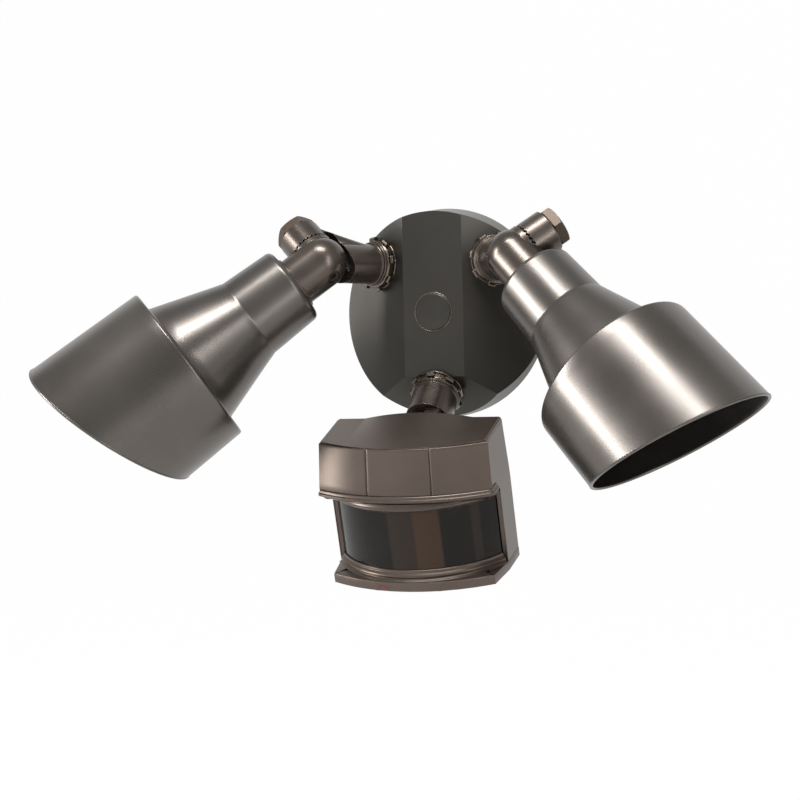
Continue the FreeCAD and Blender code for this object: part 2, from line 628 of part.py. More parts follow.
def head_outline(inset, forward, front=0.0, rear=None):
    """Plan of the head: a middle field, two raked fields and square sides, shrunk by inset, shifted forward."""
    half, field = size("head_half_width"), size("head_field_half")
    bow = size("head_bow")
    back = size("head_bow + roof_depth") if rear is None else rear
    spread = forward * size("visor_spread")
    return [(-field, front - forward + inset), (field, front - forward + inset),
            (half + spread - inset, front + bow - forward + inset * 0.6), (half + spread - inset, back - inset),
            (-half - spread + inset, back - inset), (-half - spread + inset, front + bow - forward + inset * 0.6)]


def between(low_plan, low, high_plan, high):
    """Solid between two plans with matching corners at two heights."""
    wires = []
    for plan, height in ((low_plan, low), (high_plan, high)):
        corners = [Vector(across, back, height) for across, back in plan]
        wires.append(Part.makePolygon(corners + corners[:1]))
    return Part.makeLoft(wires, True, True)


def visor_forward(height):
    """How far the raked visor stands forward at a depth below the roof's edge."""
    return height * math.tan(math.radians(size("visor_flare")))


def make_sensor_housing(frame):
    """Moulded head: sloped roof, side cheeks, back wall and base, open in front for the lens, with a lug."""
    wall = size("housing_wall")
    skin = size("visor_thickness")
    rear = size("head_bow + roof_depth")
    visor = size("visor_height")
    forward = visor_forward(visor)
    base = size("base_top")
    half = size("head_half_width")
    side = half + forward * size("visor_spread")
    front = size("wing_front")
    frame_front = size("lens_bow - lens_front")
    cheek = size("lens_half_width")
    roof = prism(head_outline(0, 0), -wall, rear)
    slope = math.tan(math.radians(size("roof_slope")))
    reach = 2 * rear
    wedge = [Vector(-reach, -reach, -reach * slope), Vector(-reach, reach, reach * slope),
             Vector(-reach, reach, reach), Vector(-reach, -reach, reach)]
    roof = roof.cut(Part.Face(Part.makePolygon(wedge + wedge[:1])).extrude(Vector(2 * reach, 0, 0)))
    upper = between(head_outline(skin, forward), -visor, head_outline(skin, 0), 0)
    upper = upper.cut(between(head_outline(skin + wall, forward), -visor - 0.01, head_outline(skin + wall, 0), -wall))
    box = box_between(-side, side, front, rear, -base, -visor)
    box = box.cut([box_between(-side + wall, side - wall, front - 1, rear - wall, -base - 1, -visor - wall)])
    trim_low = -size("visor_height + trim_height")
    lens_frame = box_between(-cheek, cheek, frame_front, rear, -base, trim_low)
    lens_frame = lens_frame.cut(box_between(-cheek + wall, cheek - wall, frame_front - 1, rear - wall,
                                            -base - 1, trim_low + 1))
    hollow = box_between(-cheek + wall, cheek - wall, front - 1, rear - wall, -visor - wall - 1, -visor + 1)
    base_front, base_bow = size("base_front"), size("base_bow")
    base_half, field = size("base_half_width"), size("head_field_half")
    plinth = prism([(-field, -base_front), (field, -base_front), (base_half, base_bow - base_front), (side, front),
                    (side, rear), (-side, rear), (-side, front), (-base_half, base_bow - base_front)],
                   -size("base_top + base_thickness"), -base)
    body = roof.fuse([upper, box, lens_frame, plinth]).cut(hollow).removeSplitter()
    pivot = Vector(0, size("pivot_back"), -size("pivot_drop"))
    disc = size("sensor_disc_radius")
    width = size("sensor_disc_width")
    near = size("tooth_gap / 2")
    root = -near - size("sensor_tooth")
    gap, lining = size("pocket_clearance"), size("pocket_lining")
    room = disc + gap
    cup = rod_x(room + lining, root - lining, width + gap + lining, pivot)
    cup = cup.common(box_between(-reach, reach, 0, rear, -base, -wall + 0.5))
    lug = rod_x(disc, -width, root, pivot)
    lug = lug.fuse(box_between(-width, root, rear - wall, pivot.y, pivot.z - disc + 0.5, pivot.z + disc - 0.5))
    body = body.fuse(cup).cut(rod_x(room, root, width + gap, pivot)).fuse(lug)
    body = body.fuse(serration(root, -near, disc * 0.55, disc - 0.1, pivot, 0.0))
    shaft_x, back = size("knob_x"), size("control_back")
    slot_half = size("(switch_travel + switch_length) / 2 - switch_rail")
    deep = size("base_top + base_thickness") + 1
    body = body.cut([
        rod_x(size("clamp_screw_radius + thread_clearance"), -width - 1, 1, pivot),
        Part.makeCylinder(size("knob_shaft_radius + thread_clearance"), size("base_thickness") + 2,
                          Vector(-shaft_x, back, -deep)),
        box_between(shaft_x - slot_half, shaft_x + slot_half, back - size("switch_width / 2 - switch_rail"),
                    back + size("switch_width / 2 - switch_rail"), -deep, -base + 1),
        box_between(-size("indicator_x + indicator_width / 2"), -size("indicator_x - indicator_width / 2"),
                    -base_front - 1, size("indicator_depth") - base_front,
                    -indicator_top(), -indicator_top() + size("indicator_height"))])
    return place(shaped("sensor_housing", body), frame)


def indicator_top():
    """Depth of the indicator's lower edge, centred on the base's front edge."""
    return size("base_top + base_thickness / 2 + indicator_height / 2")


def box_between(left, right, front, rear, low, high):
    """Box between two x, two y and two z values."""
    return Part.makeBox(right - left, rear - front, high - low, Vector(left, front, low))


def lens_solid(offset, low, high):
    """Solid bow of the lens: a drum cut off flat behind, grown outwards by an offset."""
    half, bow, front = size("lens_half_width"), size("lens_bow"), size("lens_front")
    radius = (half ** 2 + bow ** 2) / (2 * bow)
    drum = Part.makeCylinder(radius + offset, high - low, Vector(0, radius - front, low))
    return drum.common(box_between(-2 * half, 2 * half, -2 * half, bow - front, low, high))


def make_visor_panel(frame):
    """Raked front skin in three fields, with a groove at each fold."""
    skin, visor = size("visor_thickness"), size("visor_height")
    forward = visor_forward(visor)
    top, low = size("housing_wall"), visor
    share = top / visor
    outer = between(head_outline(0, forward), -low, head_outline(0, forward * share), -top)
    reach = 2 * size("head_half_width")
    outer = outer.common(box_between(-reach, reach, -reach, size("head_bow + visor_return"), -low, -top))
    inner = between(head_outline(skin, forward), -low, head_outline(skin, 0), 0)
    panel = outer.cut(inner)
    depth = size("groove_depth")
    for sign in (-1, 1):
        x = sign * size("head_field_half")
        cuts = []
        for height, ahead in ((-low - 1, forward), (-top + 1, forward * share)):
            corners = [Vector(x - depth, -ahead - 0.2, height), Vector(x + depth, -ahead - 0.2, height),
                       Vector(x, -ahead + depth, height)]
            cuts.append(Part.makePolygon(corners + corners[:1]))
        panel = panel.cut(Part.makeLoft(cuts, True, True))
    return place(shaped("visor_panel", panel), frame)


def make_visor_trim(frame):
    """Moulding under the visor, with a step inside it that the lens hangs from."""
    visor, lip = size("visor_height"), size("trim_lip")
    forward = visor_forward(visor)
    step = size("visor_height + trim_height")
    lens_top = size("lens_top")
    front, bead, bead_low = size("wing_front"), size("trim_lip + trim_bead"), size("bead_low")
    hollow = lens_solid(-size("lens_wall + lens_rim"), -lens_top - 1, -visor + 1)
    band = prism(head_outline(-lip, forward, rear=front - lip), -step, -visor)
    edge = prism(head_outline(-bead, forward, rear=front - bead), bead_low - step, bead_low + size("bead_width") - step)
    seat = lens_solid(size("lens_seat"), -lens_top, -step)
    return place(shaped("visor_trim", band.fuse([edge, seat]).cut(hollow).removeSplitter()), frame)


def make_lens(frame):
    """Curved detector window, hanging between the trim and the lower ring."""
    low, high = -size("lens_bottom"), -size("lens_top")
    window = lens_solid(0, low, high).cut(lens_solid(-size("lens_wall"), low - 1, high + 1))
    return place(shaped("lens", window), frame)


def make_lens_ring(frame):
    """Half ring on the base that holds the lens's lower edge."""
    low, high = -size("base_top"), -size("lens_bottom")
    ring = lens_solid(size("ring_foot"), low, high - size("ring_step")).fuse(lens_solid(size("lens_seat"), low, high))
    ring = ring.cut(lens_solid(-size("lens_wall + lens_rim"), low - 1, high + 1))
    return place(shaped("lens_ring", ring.removeSplitter()), frame)


def make_circuit_board(frame):
    half, low = size("board_width / 2"), -size("base_top")
    back = size("board_back")
    board = box_between(-half, half, back, back + size("board_thickness"), low, low + size("board_height"))
    return place(shaped("circuit_board", board), frame)


def make_pir_element(frame):
    """Round metal can with a flange, standing out from the board behind the lens."""
    back = size("board_back")
    centre = Vector(0, back, size("eye_rise - base_top"))
    can = Part.makeCylinder(size("eye_radius"), size("eye_height"), centre, Vector(0, -1, 0))
    flange = Part.makeCylinder(size("eye_radius") + 0.6, 0.6, centre, Vector(0, -1, 0))
    return place(shaped("pir_element", can.fuse(flange)), frame)


def make_indicator(frame):
    """Bare red window let into the base's front edge."""
    x, half, front = size("indicator_x"), size("indicator_width / 2"), size("base_front")
    low = -indicator_top()
    window = box_between(-x - half, half - x, -front - size("indicator_proud"), -front + size("indicator_depth"),
                         low, low + size("indicator_height"))
    return place(shaped("indicator", window), frame)


def make_range_knob(frame):
    """Fluted knob under the base; its shaft runs up through the base."""
    low = -size("base_top + base_thickness")
    gap = size("running_gap")
    body = turned_solid([(0, low - gap - size("knob_height")),
                         (size("knob_radius") - 0.5, low - gap - size("knob_height")),
                         (size("knob_radius"), low - gap - size("knob_height") + 0.5), (size("knob_radius"), low - gap),
                         (size("knob_shaft_radius"), low - gap),
                         (size("knob_shaft_radius"), -size("base_top") + 2), (0, -size("base_top") + 2)])
    flute = size("knob_radius / 8")
    cuts = []
    for angle in range(0, 360, 30):
        spot = Vector(size("knob_radius") * math.cos(math.radians(angle)),
                      size("knob_radius") * math.sin(math.radians(angle)), low - gap - size("knob_height") - 1)
        cuts.append(Part.makeCylinder(flute, size("knob_height"), spot))
    slot = box_between(-size("knob_radius") + 1.4, size("knob_radius") - 1.4, -0.5, 0.5, low - gap - size("knob_height") - 1,
                       low - gap - size("knob_height") + 1)
    body = body.cut(cuts + [slot])
    body.translate(Vector(-size("knob_x"), size("control_back"), 0))
    return place_moved(shaped("range_knob", body), frame)


def make_time_switch(frame):
    """Sliding tab under the base, drawn at one end of its slot."""
    low = -size("base_top + base_thickness")
    gap = size("running_gap")
    x, back = size("knob_x - switch_travel / 2"), size("control_back")
    half, width = size("switch_length / 2"), size("switch_width / 2")
    rail = size("switch_rail")
    tab = box_between(x - half, x + half, back - width, back + width, low - gap - size("switch_rise"), low - gap)
    stem = box_between(x - half + rail + gap, x + half - rail - gap, back - width + rail + gap,
                       back + width - rail - gap, low - gap, -size("base_top") + 1)
    ribs = [box_between(x + step - 0.3, x + step + 0.3, back - width, back + width, low - gap - size("switch_rise") - 0.5,
                        low - gap - size("switch_rise")) for step in (-1.6, 0.0, 1.6)]
    return place(shaped("time_switch", tab.fuse([stem] + ribs).removeSplitter()), frame)


def make_pivot_screw(frame):
    """Screw through the head's lug and the arm's tongue."""
    pivot = Vector(0, size("pivot_back"), -size("pivot_drop"))
    width, nut = size("sensor_disc_width"), size("pivot_nut_height")
    screw = rod_x(size("clamp_screw_radius"), -width - 1, width + nut + 0.8, pivot)
    screw = screw.fuse(rod_x(size("pivot_nut_radius"), -width - 2.8, -width, pivot))
    slot = box_between(-width - 3, -width - 1.8, pivot.y - 6, pivot.y + 6, pivot.z - 0.5, pivot.z + 0.5)
    return place(shaped("sensor_pivot_screw", screw.cut(slot)), frame)


def make_pivot_nut(frame):
    """Six-sided nut on the arm's side of the pivot screw, made in the arm's axes."""
    radius, height = size("pivot_nut_radius"), size("pivot_nut_height")
    nut = hexagon(radius, height)
    nut = nut.cut(Part.makeCylinder(size("clamp_screw_radius + thread_clearance"), height + 2, Vector(0, 0, -1)))
    nut.Placement = axes(Vector(size("sensor_disc_width"), 0, size("sensor_reach")), Vector(1, 0, 0), Vector(0, 0, -1))
    return place_moved(shaped("sensor_pivot_nut", nut), frame)


# ---------------------------------------------------------------- the whole light

pieces = [make_cover_plate(), make_wall_gasket(), make_mounting_strap(), make_mounting_bolt(), make_bolt_plug()]
for name, (arm_frame, holder_frame, shade_frame) in LAMPS.items():
    pieces += [
        make_washer(name + "_washer", arm_frame), make_lock_nut(name + "_lock_nut", arm_frame),
        make_lamp_arm(name + "_arm", arm_frame), make_clamp_cap(name + "_clamp_cap", holder_frame),
        make_lamp_holder(name + "_holder", holder_frame), make_clamp_screw(name + "_clamp_screw", holder_frame),
        make_shade(name + "_shade", shade_frame), make_shade_nut(name + "_shade_nut", shade_frame),
        make_socket(name + "_socket", shade_frame), make_screw_shell(name + "_screw_shell", shade_frame),
        make_center_contact(name + "_center_contact", shade_frame), make_neck_seal(name + "_neck_seal", shade_frame)]
pieces += [
    make_washer("sensor_washer", SENSOR_ARM_FRAME), make_lock_nut("sensor_lock_nut", SENSOR_ARM_FRAME),
    make_sensor_arm(SENSOR_ARM_FRAME), make_pivot_nut(SENSOR_ARM_FRAME), make_pivot_screw(SENSOR_FRAME),
    make_sensor_housing(SENSOR_FRAME), make_visor_panel(SENSOR_FRAME), make_visor_trim(SENSOR_FRAME),
    make_lens(SENSOR_FRAME), make_lens_ring(SENSOR_FRAME), make_circuit_board(SENSOR_FRAME),
    make_pir_element(SENSOR_FRAME), make_indicator(SENSOR_FRAME), make_range_knob(SENSOR_FRAME),
    make_time_switch(SENSOR_FRAME)]

doc.recompute()
for item in doc.Objects:
    if "Invalid" in item.State or "Error" in item.State:
        raise RuntimeError("%s did not build" % item.Label)
os.makedirs("parts", exist_ok=True)
for piece in pieces:
    if piece.Shape.isNull() or not piece.Shape.isValid() or len(piece.Shape.Solids) != 1:
        raise RuntimeError("%s is not one sound solid" % piece.Label)
    piece.Shape.exportStep("parts/%s.step" % piece.Label)
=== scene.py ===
# A motion sensor security light: two swivelling lamp holders with bell shades and a sensor
# head, all carried by one round wall plate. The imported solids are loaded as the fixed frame,
# and each section below dresses one piece of the fixture in the order in which it is fitted.
import json
import math

import bmesh
import bpy
import numpy as np
from mathutils import Matrix, Vector


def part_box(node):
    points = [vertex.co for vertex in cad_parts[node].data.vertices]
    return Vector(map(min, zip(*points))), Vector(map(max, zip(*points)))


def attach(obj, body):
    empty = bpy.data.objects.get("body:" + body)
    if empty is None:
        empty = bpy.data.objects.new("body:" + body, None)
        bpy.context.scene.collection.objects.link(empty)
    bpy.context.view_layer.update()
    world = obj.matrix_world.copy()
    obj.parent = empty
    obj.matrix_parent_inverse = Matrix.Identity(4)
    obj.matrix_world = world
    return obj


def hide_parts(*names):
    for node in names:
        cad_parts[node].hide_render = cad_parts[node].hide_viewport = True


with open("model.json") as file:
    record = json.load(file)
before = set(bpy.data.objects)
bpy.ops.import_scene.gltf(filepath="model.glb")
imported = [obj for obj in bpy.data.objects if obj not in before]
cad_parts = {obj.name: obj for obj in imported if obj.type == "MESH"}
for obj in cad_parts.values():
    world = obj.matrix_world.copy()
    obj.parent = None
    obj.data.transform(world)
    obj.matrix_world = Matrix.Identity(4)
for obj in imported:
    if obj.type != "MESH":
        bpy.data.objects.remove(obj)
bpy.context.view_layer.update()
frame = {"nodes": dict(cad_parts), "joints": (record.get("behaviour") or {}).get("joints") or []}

# The studio. The camera stands to the right of the wall plate and a little below its middle,
# two metres of plain white sweep lie under and behind the fixture, and three soft lamps stand
# round it: one tall at the left, one tall at the right and one overhead.
FOCAL_PIXELS = 2140.59
SENSOR_WIDTH = 36.0
FRAME_PIXELS = 800
camera_place = Vector((0.40543, -1.2412, -0.03698))
yaw, pitch, roll = (math.radians(angle) for angle in (19.42, 0.68, 1.23))
ahead = Vector((-math.sin(yaw) * math.cos(pitch), math.cos(yaw) * math.cos(pitch), -math.sin(pitch)))
level = Vector((math.cos(yaw), math.sin(yaw), 0.0))
down = ahead.cross(level)
across = level * math.cos(roll) + down * math.sin(roll)
below = down * math.cos(roll) - level * math.sin(roll)
lens_data = bpy.data.cameras.new("camera")
lens_data.lens = FOCAL_PIXELS * SENSOR_WIDTH / FRAME_PIXELS
lens_data.sensor_width = SENSOR_WIDTH
camera = bpy.data.objects.new("camera", lens_data)
camera_turn = Matrix((across, -below, -ahead)).transposed().to_4x4()
camera.matrix_world = Matrix.Translation(camera_place) @ camera_turn
bpy.context.scene.collection.objects.link(camera)
bpy.context.scene.camera = camera
bpy.context.scene.view_settings.view_transform = "Standard"

fixture_middle = Vector((0.0, -0.08, -0.02))


def softbox(name, azimuth, elevation, distance, width, height, radiance):
    """A flat lamp aimed at the fixture. Its power is four times its area times its radiance."""
    turn, rise = math.radians(azimuth), math.radians(elevation)
    out = Vector((math.sin(turn) * math.cos(rise), -math.cos(turn) * math.cos(rise), math.sin(rise)))
    data = bpy.data.lights.new(name, "AREA")
    data.shape = "RECTANGLE"
    data.size = width
    data.size_y = height
    data.energy = 4.0 * width * height * radiance
    lamp = bpy.data.objects.new(name, data)
    lamp.location = fixture_middle + out * distance
    lamp.rotation_euler = out.to_track_quat("Z", "Y").to_euler()
    bpy.context.scene.collection.objects.link(lamp)
    return lamp


softbox("left_softbox", -65, 0, 1.7, 0.24, 1.5, 27.0)
softbox("right_softbox", 52, 4, 1.8, 0.24, 1.9, 6.0)
softbox("top_softbox", 4, 66, 1.7, 0.9, 0.26, 25.0)

WORLD_GREY, SWEEP_GLOW = 0.46, 0.985
world = bpy.data.worlds.new("studio")
world.use_nodes = True
world.node_tree.nodes["Background"].inputs["Color"].default_value = (*[WORLD_GREY] * 3, 1.0)
bpy.context.scene.world = world


def link(tree, source, target):
    """Joins an output socket to an input socket."""
    tree.links.new(source, target)


sweep_steps = 24
bend = np.linspace(0.0, math.pi / 2, sweep_steps)
FLOOR_LEVEL, BEND_RADIUS, BACK_WALL, SWEEP_HALF = -0.34, 0.9, 3.4, 6.0
FLOOR_FRONT, SWEEP_TOP = -4.0, 5.0
profile = np.concatenate([
    [[FLOOR_FRONT, FLOOR_LEVEL]],
    np.stack([BACK_WALL - BEND_RADIUS + BEND_RADIUS * np.sin(bend),
              FLOOR_LEVEL + BEND_RADIUS * (1 - np.cos(bend))], 1),
    [[BACK_WALL, SWEEP_TOP]],
])
sides = np.array([-SWEEP_HALF, SWEEP_HALF])
points = np.zeros((len(profile), 2, 3))
points[:, :, 0] = sides[None, :]
points[:, :, 1] = profile[:, None, 0]
points[:, :, 2] = profile[:, None, 1]
row = np.arange(len(profile) - 1)[:, None] * 2
faces = np.concatenate([row, row + 1, row + 3, row + 2], 1)
sweep_mesh = bpy.data.meshes.new("sweep")
sweep_mesh.from_pydata(points.reshape(-1, 3).tolist(), [], faces.tolist())
sweep_mesh.polygons.foreach_set("use_smooth", np.ones(len(faces), bool))
sweep = bpy.data.objects.new("sweep", sweep_mesh)
bpy.context.scene.collection.objects.link(sweep)
paper = bpy.data.materials.new("white_sweep")
paper.use_nodes = True
paper_tree = paper.node_tree
paper_tree.nodes["Principled BSDF"].inputs["Base Color"].default_value = (0.86, 0.86, 0.86, 1.0)
paper_tree.nodes["Principled BSDF"].inputs["Roughness"].default_value = 0.9
rays = paper_tree.nodes.new("ShaderNodeLightPath")
seen = paper_tree.nodes.new("ShaderNodeMath")
seen.operation = "MAXIMUM"
link(paper_tree, rays.outputs["Is Camera Ray"], seen.inputs[0])
link(paper_tree, rays.outputs["Is Glossy Ray"], seen.inputs[1])
through = paper_tree.nodes.new("ShaderNodeMath")
through.operation = "MAXIMUM"
link(paper_tree, seen.outputs[0], through.inputs[0])
link(paper_tree, rays.outputs["Is Transmission Ray"], through.inputs[1])
share = paper_tree.nodes.new("ShaderNodeMath")
share.operation = "MULTIPLY"
share.inputs[1].default_value = SWEEP_GLOW
link(paper_tree, through.outputs[0], share.inputs[0])
glow = paper_tree.nodes.new("ShaderNodeEmission")
glow.inputs["Strength"].default_value = 1.0
blend_paper = paper_tree.nodes.new("ShaderNodeMixShader")
link(paper_tree, share.outputs[0], blend_paper.inputs["Fac"])
link(paper_tree, paper_tree.nodes["Principled BSDF"].outputs["BSDF"], blend_paper.inputs[1])
link(paper_tree, glow.outputs["Emission"], blend_paper.inputs[2])
link(paper_tree, blend_paper.outputs["Shader"], paper_tree.nodes["Material Output"].inputs["Surface"])
sweep_mesh.materials.append(paper)


# The wall plate's foam gasket, die cut from a closed-cell sheet, and the zinc-plated strap
# that is screwed to the junction box behind the plate. The strap's centre thread takes the
# bolt that pulls the plate on to the wall.
def shader_group(name, inputs, outputs):
    """A shader node group with named inputs (name to start value) and named outputs."""
    tree = bpy.data.node_groups.new(name, "ShaderNodeTree")
    for label, start in inputs.items():
        kind = "NodeSocketFloat" if isinstance(start, (int, float)) else "NodeSocketVector"
        socket = tree.interface.new_socket(label, in_out="INPUT", socket_type=kind)
        if kind == "NodeSocketFloat":
            socket.default_value = start
    for label, kind in outputs.items():
        tree.interface.new_socket(label, in_out="OUTPUT", socket_type=kind)
    return tree, tree.nodes.new("NodeGroupInput"), tree.nodes.new("NodeGroupOutput")


def noise(tree, vector, scale, detail=2.0, roughness=0.5, distortion=0.0):
    """A noise texture in metres: scale is the number of cells in one metre."""
    node = tree.nodes.new("ShaderNodeTexNoise")
    node.inputs["Scale"].default_value = scale
    node.inputs["Detail"].default_value = detail
    node.inputs["Roughness"].default_value = roughness
    node.inputs["Distortion"].default_value = distortion
    link(tree, vector, node.inputs["Vector"])
    return node.outputs["Fac"]


def spread(tree, value, low, high, to_low, to_high):
    """Maps a value from one range to another, held at the ends."""
    node = tree.nodes.new("ShaderNodeMapRange")
    for label, number in (("From Min", low), ("From Max", high), ("To Min", to_low), ("To Max", to_high)):
        if hasattr(number, "is_output"):
            link(tree, number, node.inputs[label])
        else:
            node.inputs[label].default_value = number
    link(tree, value, node.inputs["Value"])
    return node.outputs["Result"]


def math_node(tree, operation, first, second):
    """One arithmetic step on two values, either of which may be a number."""
    node = tree.nodes.new("ShaderNodeMath")
    node.operation = operation
    for slot, value in enumerate((first, second)):
        if hasattr(value, "is_output"):
            link(tree, value, node.inputs[slot])
        else:
            node.inputs[slot].default_value = value
    return node.outputs[0]


# surface_grain: a slow cloud for colour and gloss, and a fine grain for the bump.
grain_tree, grain_in, grain_out = shader_group(
    "surface_grain", {"Cloud Scale": 30.0, "Grain Scale": 1400.0, "Streak": 1.0},
    {"Cloud": "NodeSocketFloat", "Grain": "NodeSocketFloat"})
place = grain_tree.nodes.new("ShaderNodeTexCoord")
cloud = grain_tree.nodes.new("ShaderNodeTexNoise")
cloud.inputs["Detail"].default_value = 4.0
link(grain_tree, place.outputs["Object"], cloud.inputs["Vector"])
link(grain_tree, grain_in.outputs["Cloud Scale"], cloud.inputs["Scale"])
stretch = grain_tree.nodes.new("ShaderNodeVectorMath")
stretch.operation = "MULTIPLY"
squeeze = grain_tree.nodes.new("ShaderNodeCombineXYZ")
squeeze.inputs["Y"].default_value = 1.0
squeeze.inputs["Z"].default_value = 1.0
link(grain_tree, grain_in.outputs["Streak"], squeeze.inputs["X"])
link(grain_tree, place.outputs["Object"], stretch.inputs[0])
link(grain_tree, squeeze.outputs["Vector"], stretch.inputs[1])
fine = grain_tree.nodes.new("ShaderNodeTexNoise")
fine.inputs["Detail"].default_value = 2.0
link(grain_tree, stretch.outputs["Vector"], fine.inputs["Vector"])
link(grain_tree, grain_in.outputs["Grain Scale"], fine.inputs["Scale"])
link(grain_tree, cloud.outputs["Fac"], grain_out.inputs["Cloud"])
link(grain_tree, fine.outputs["Fac"], grain_out.inputs["Grain"])

# edge_wear: how far the rounded normal leaves the true one, broken up by a coarse noise.
wear_tree, wear_in, wear_out = shader_group(
    "edge_wear", {"Radius": 0.0006, "Amount": 1.0}, {"Mask": "NodeSocketFloat"})
rounded = wear_tree.nodes.new("ShaderNodeBevel")
rounded.samples = 6
link(wear_tree, wear_in.outputs["Radius"], rounded.inputs["Radius"])
truth = wear_tree.nodes.new("ShaderNodeNewGeometry")
agree = wear_tree.nodes.new("ShaderNodeVectorMath")
agree.operation = "DOT_PRODUCT"
link(wear_tree, rounded.outputs["Normal"], agree.inputs[0])
link(wear_tree, truth.outputs["Normal"], agree.inputs[1])
bent = spread(wear_tree, agree.outputs["Value"], 1.0, 0.82, 0.0, 1.0)
wear_place = wear_tree.nodes.new("ShaderNodeTexCoord")
patches = noise(wear_tree, wear_place.outputs["Object"], 160.0, 4.0, 0.65)
broken = spread(wear_tree, patches, 0.36, 0.62, 0.15, 1.0)
amount = math_node(wear_tree, "MULTIPLY", math_node(wear_tree, "MULTIPLY", bent, broken),
                   wear_in.outputs["Amount"])
link(wear_tree, amount, wear_out.inputs["Mask"])


def colour_mix(tree, mask, first, second):
    """Mixes two colours by a mask; each colour is three numbers or a socket."""
    node = tree.nodes.new("ShaderNodeMix")
    node.data_type = "RGBA"
    link(tree, mask, node.inputs["Factor"])
    for label, colour in (("A", first), ("B", second)):
        socket = [s for s in node.inputs if s.name == label and s.type == "RGBA"][0]
        if hasattr(colour, "is_output"):
            link(tree, colour, socket)
        else:
            socket.default_value = (*colour, 1.0)
    return [s for s in node.outputs if s.type == "RGBA"][0]


def surface(name, light, dark, worn, roughness, metallic=0.0, wear=0.6, wear_radius=0.0006,
            cloud=30.0, grain=1400.0, streak=1.0, depth=0.00002, edge=0.00035, coat=0.0,
            coat_roughness=0.15, specular=0.5):
    """A solid surface: two tones of one colour in a slow cloud, a worn tone along the edges,
    a gloss that varies with the grain, rounded edges and a fine bump. Depth and radii in metres."""
    material = bpy.data.materials.new(name)
    material.use_nodes = True
    tree = material.node_tree
    body = tree.nodes["Principled BSDF"]
    body.inputs["Metallic"].default_value = metallic
    body.inputs["Coat Weight"].default_value = coat
    body.inputs["Coat Roughness"].default_value = coat_roughness
    body.inputs["Specular IOR Level"].default_value = specular
    texture = tree.nodes.new("ShaderNodeGroup")
    texture.node_tree = grain_tree
    texture.inputs["Cloud Scale"].default_value = cloud
    texture.inputs["Grain Scale"].default_value = grain
    texture.inputs["Streak"].default_value = streak
    rub = tree.nodes.new("ShaderNodeGroup")
    rub.node_tree = wear_tree
    rub.inputs["Radius"].default_value = wear_radius
    rub.inputs["Amount"].default_value = wear
    tone = spread(tree, texture.outputs["Cloud"], 0.3, 0.7, 0.0, 1.0)
    paint = colour_mix(tree, tone, dark, light)
    link(tree, colour_mix(tree, rub.outputs["Mask"], paint, worn), body.inputs["Base Color"])
    gloss = math_node(tree, "ADD", spread(tree, texture.outputs["Cloud"], 0.3, 0.7, -0.03, 0.04),
                      spread(tree, texture.outputs["Grain"], 0.2, 0.8, roughness - 0.03, roughness + 0.05))
    link(tree, gloss, body.inputs["Roughness"])
    corner = tree.nodes.new("ShaderNodeBevel")
    corner.samples = 6
    corner.inputs["Radius"].default_value = edge
    bump = tree.nodes.new("ShaderNodeBump")
    bump.inputs["Strength"].default_value = 1.0
    bump.inputs["Distance"].default_value = depth
    link(tree, texture.outputs["Grain"], bump.inputs["Height"])
    link(tree, corner.outputs["Normal"], bump.inputs["Normal"])
    link(tree, bump.outputs["Normal"], body.inputs["Normal"])
    return material


def dress(material, *names):
    """Gives one finish to CAD nodes by their names."""
    for name in names:
        mesh = frame["nodes"][name].data
        for slot in range(max(1, len(mesh.materials))):
            if mesh.materials:
                mesh.materials[slot] = material
            else:
                mesh.materials.append(material)


foam = surface("gasket_foam", (0.045, 0.044, 0.042), (0.028, 0.027, 0.026), (0.07, 0.068, 0.065),
               0.9, wear=0.3, grain=900.0, depth=0.00015, edge=0.0006)
zinc = surface("strap_zinc", (0.62, 0.60, 0.55), (0.50, 0.49, 0.46), (0.75, 0.74, 0.71), 0.34,
               metallic=1.0, wear=0.5, cloud=70.0, grain=2200.0, streak=0.06, depth=0.000006)


def add_piece(name, points, faces, body, material, sharp=40.0):
    """A new mesh from an array of points and a list of faces: shaded smooth up to an angle, turned
    outwards, finished with one material and riding on one body."""
    mesh = bpy.data.meshes.new(name)
    mesh.from_pydata(np.asarray(points, float).reshape(-1, 3).tolist(), [], faces)
    shell = bmesh.new()
    shell.from_mesh(mesh)
    bmesh.ops.remove_doubles(shell, verts=shell.verts, dist=1e-7)
    bmesh.ops.recalc_face_normals(shell, faces=shell.faces)
    shell.to_mesh(mesh)
    shell.free()
    mesh.polygons.foreach_set("use_smooth", np.ones(len(mesh.polygons), bool))
    mesh.set_sharp_from_angle(angle=math.radians(sharp))
    mesh.materials.append(material)
    piece = bpy.data.objects.new(name, mesh)
    bpy.context.scene.collection.objects.link(piece)
    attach(piece, body)
    return piece


def grid_faces(rows, columns, closed_rows=False, closed_columns=False):
    """Quads over a grid of points, joined to its start along rows or columns where it is closed."""
    row = np.arange(rows if closed_rows else rows - 1)[:, None]
    column = np.arange(columns if closed_columns else columns - 1)[None, :]
    after, beside = (row + 1) % rows, (column + 1) % columns
    corners = [row * columns + column, row * columns + beside,
               after * columns + beside, after * columns + column]
    quads = np.stack([np.broadcast_to(corner, (row.size, column.size)) for corner in corners], -1)
    return quads.reshape(-1, 4).tolist()


PLATE_AROUND = 160


def spun(profile, origin, axis, side, around=PLATE_AROUND):
    """A profile of (radius, height) turned about an axis: origin + height * axis + radius * (cosine of
    the angle * side + sine of the angle * across). Heights may also be one row per angle."""
    angle = np.linspace(0.0, 2 * math.pi, around, endpoint=False)
    across = np.cross(axis, side)
    ring = np.cos(angle)[:, None] * side + np.sin(angle)[:, None] * across
    radius = np.asarray([row[0] for row in profile], float)
    height = np.stack([np.broadcast_to(np.asarray(row[1], float), angle.shape) for row in profile])
    return origin + height[..., None] * axis + radius[:, None, None] * ring[None]


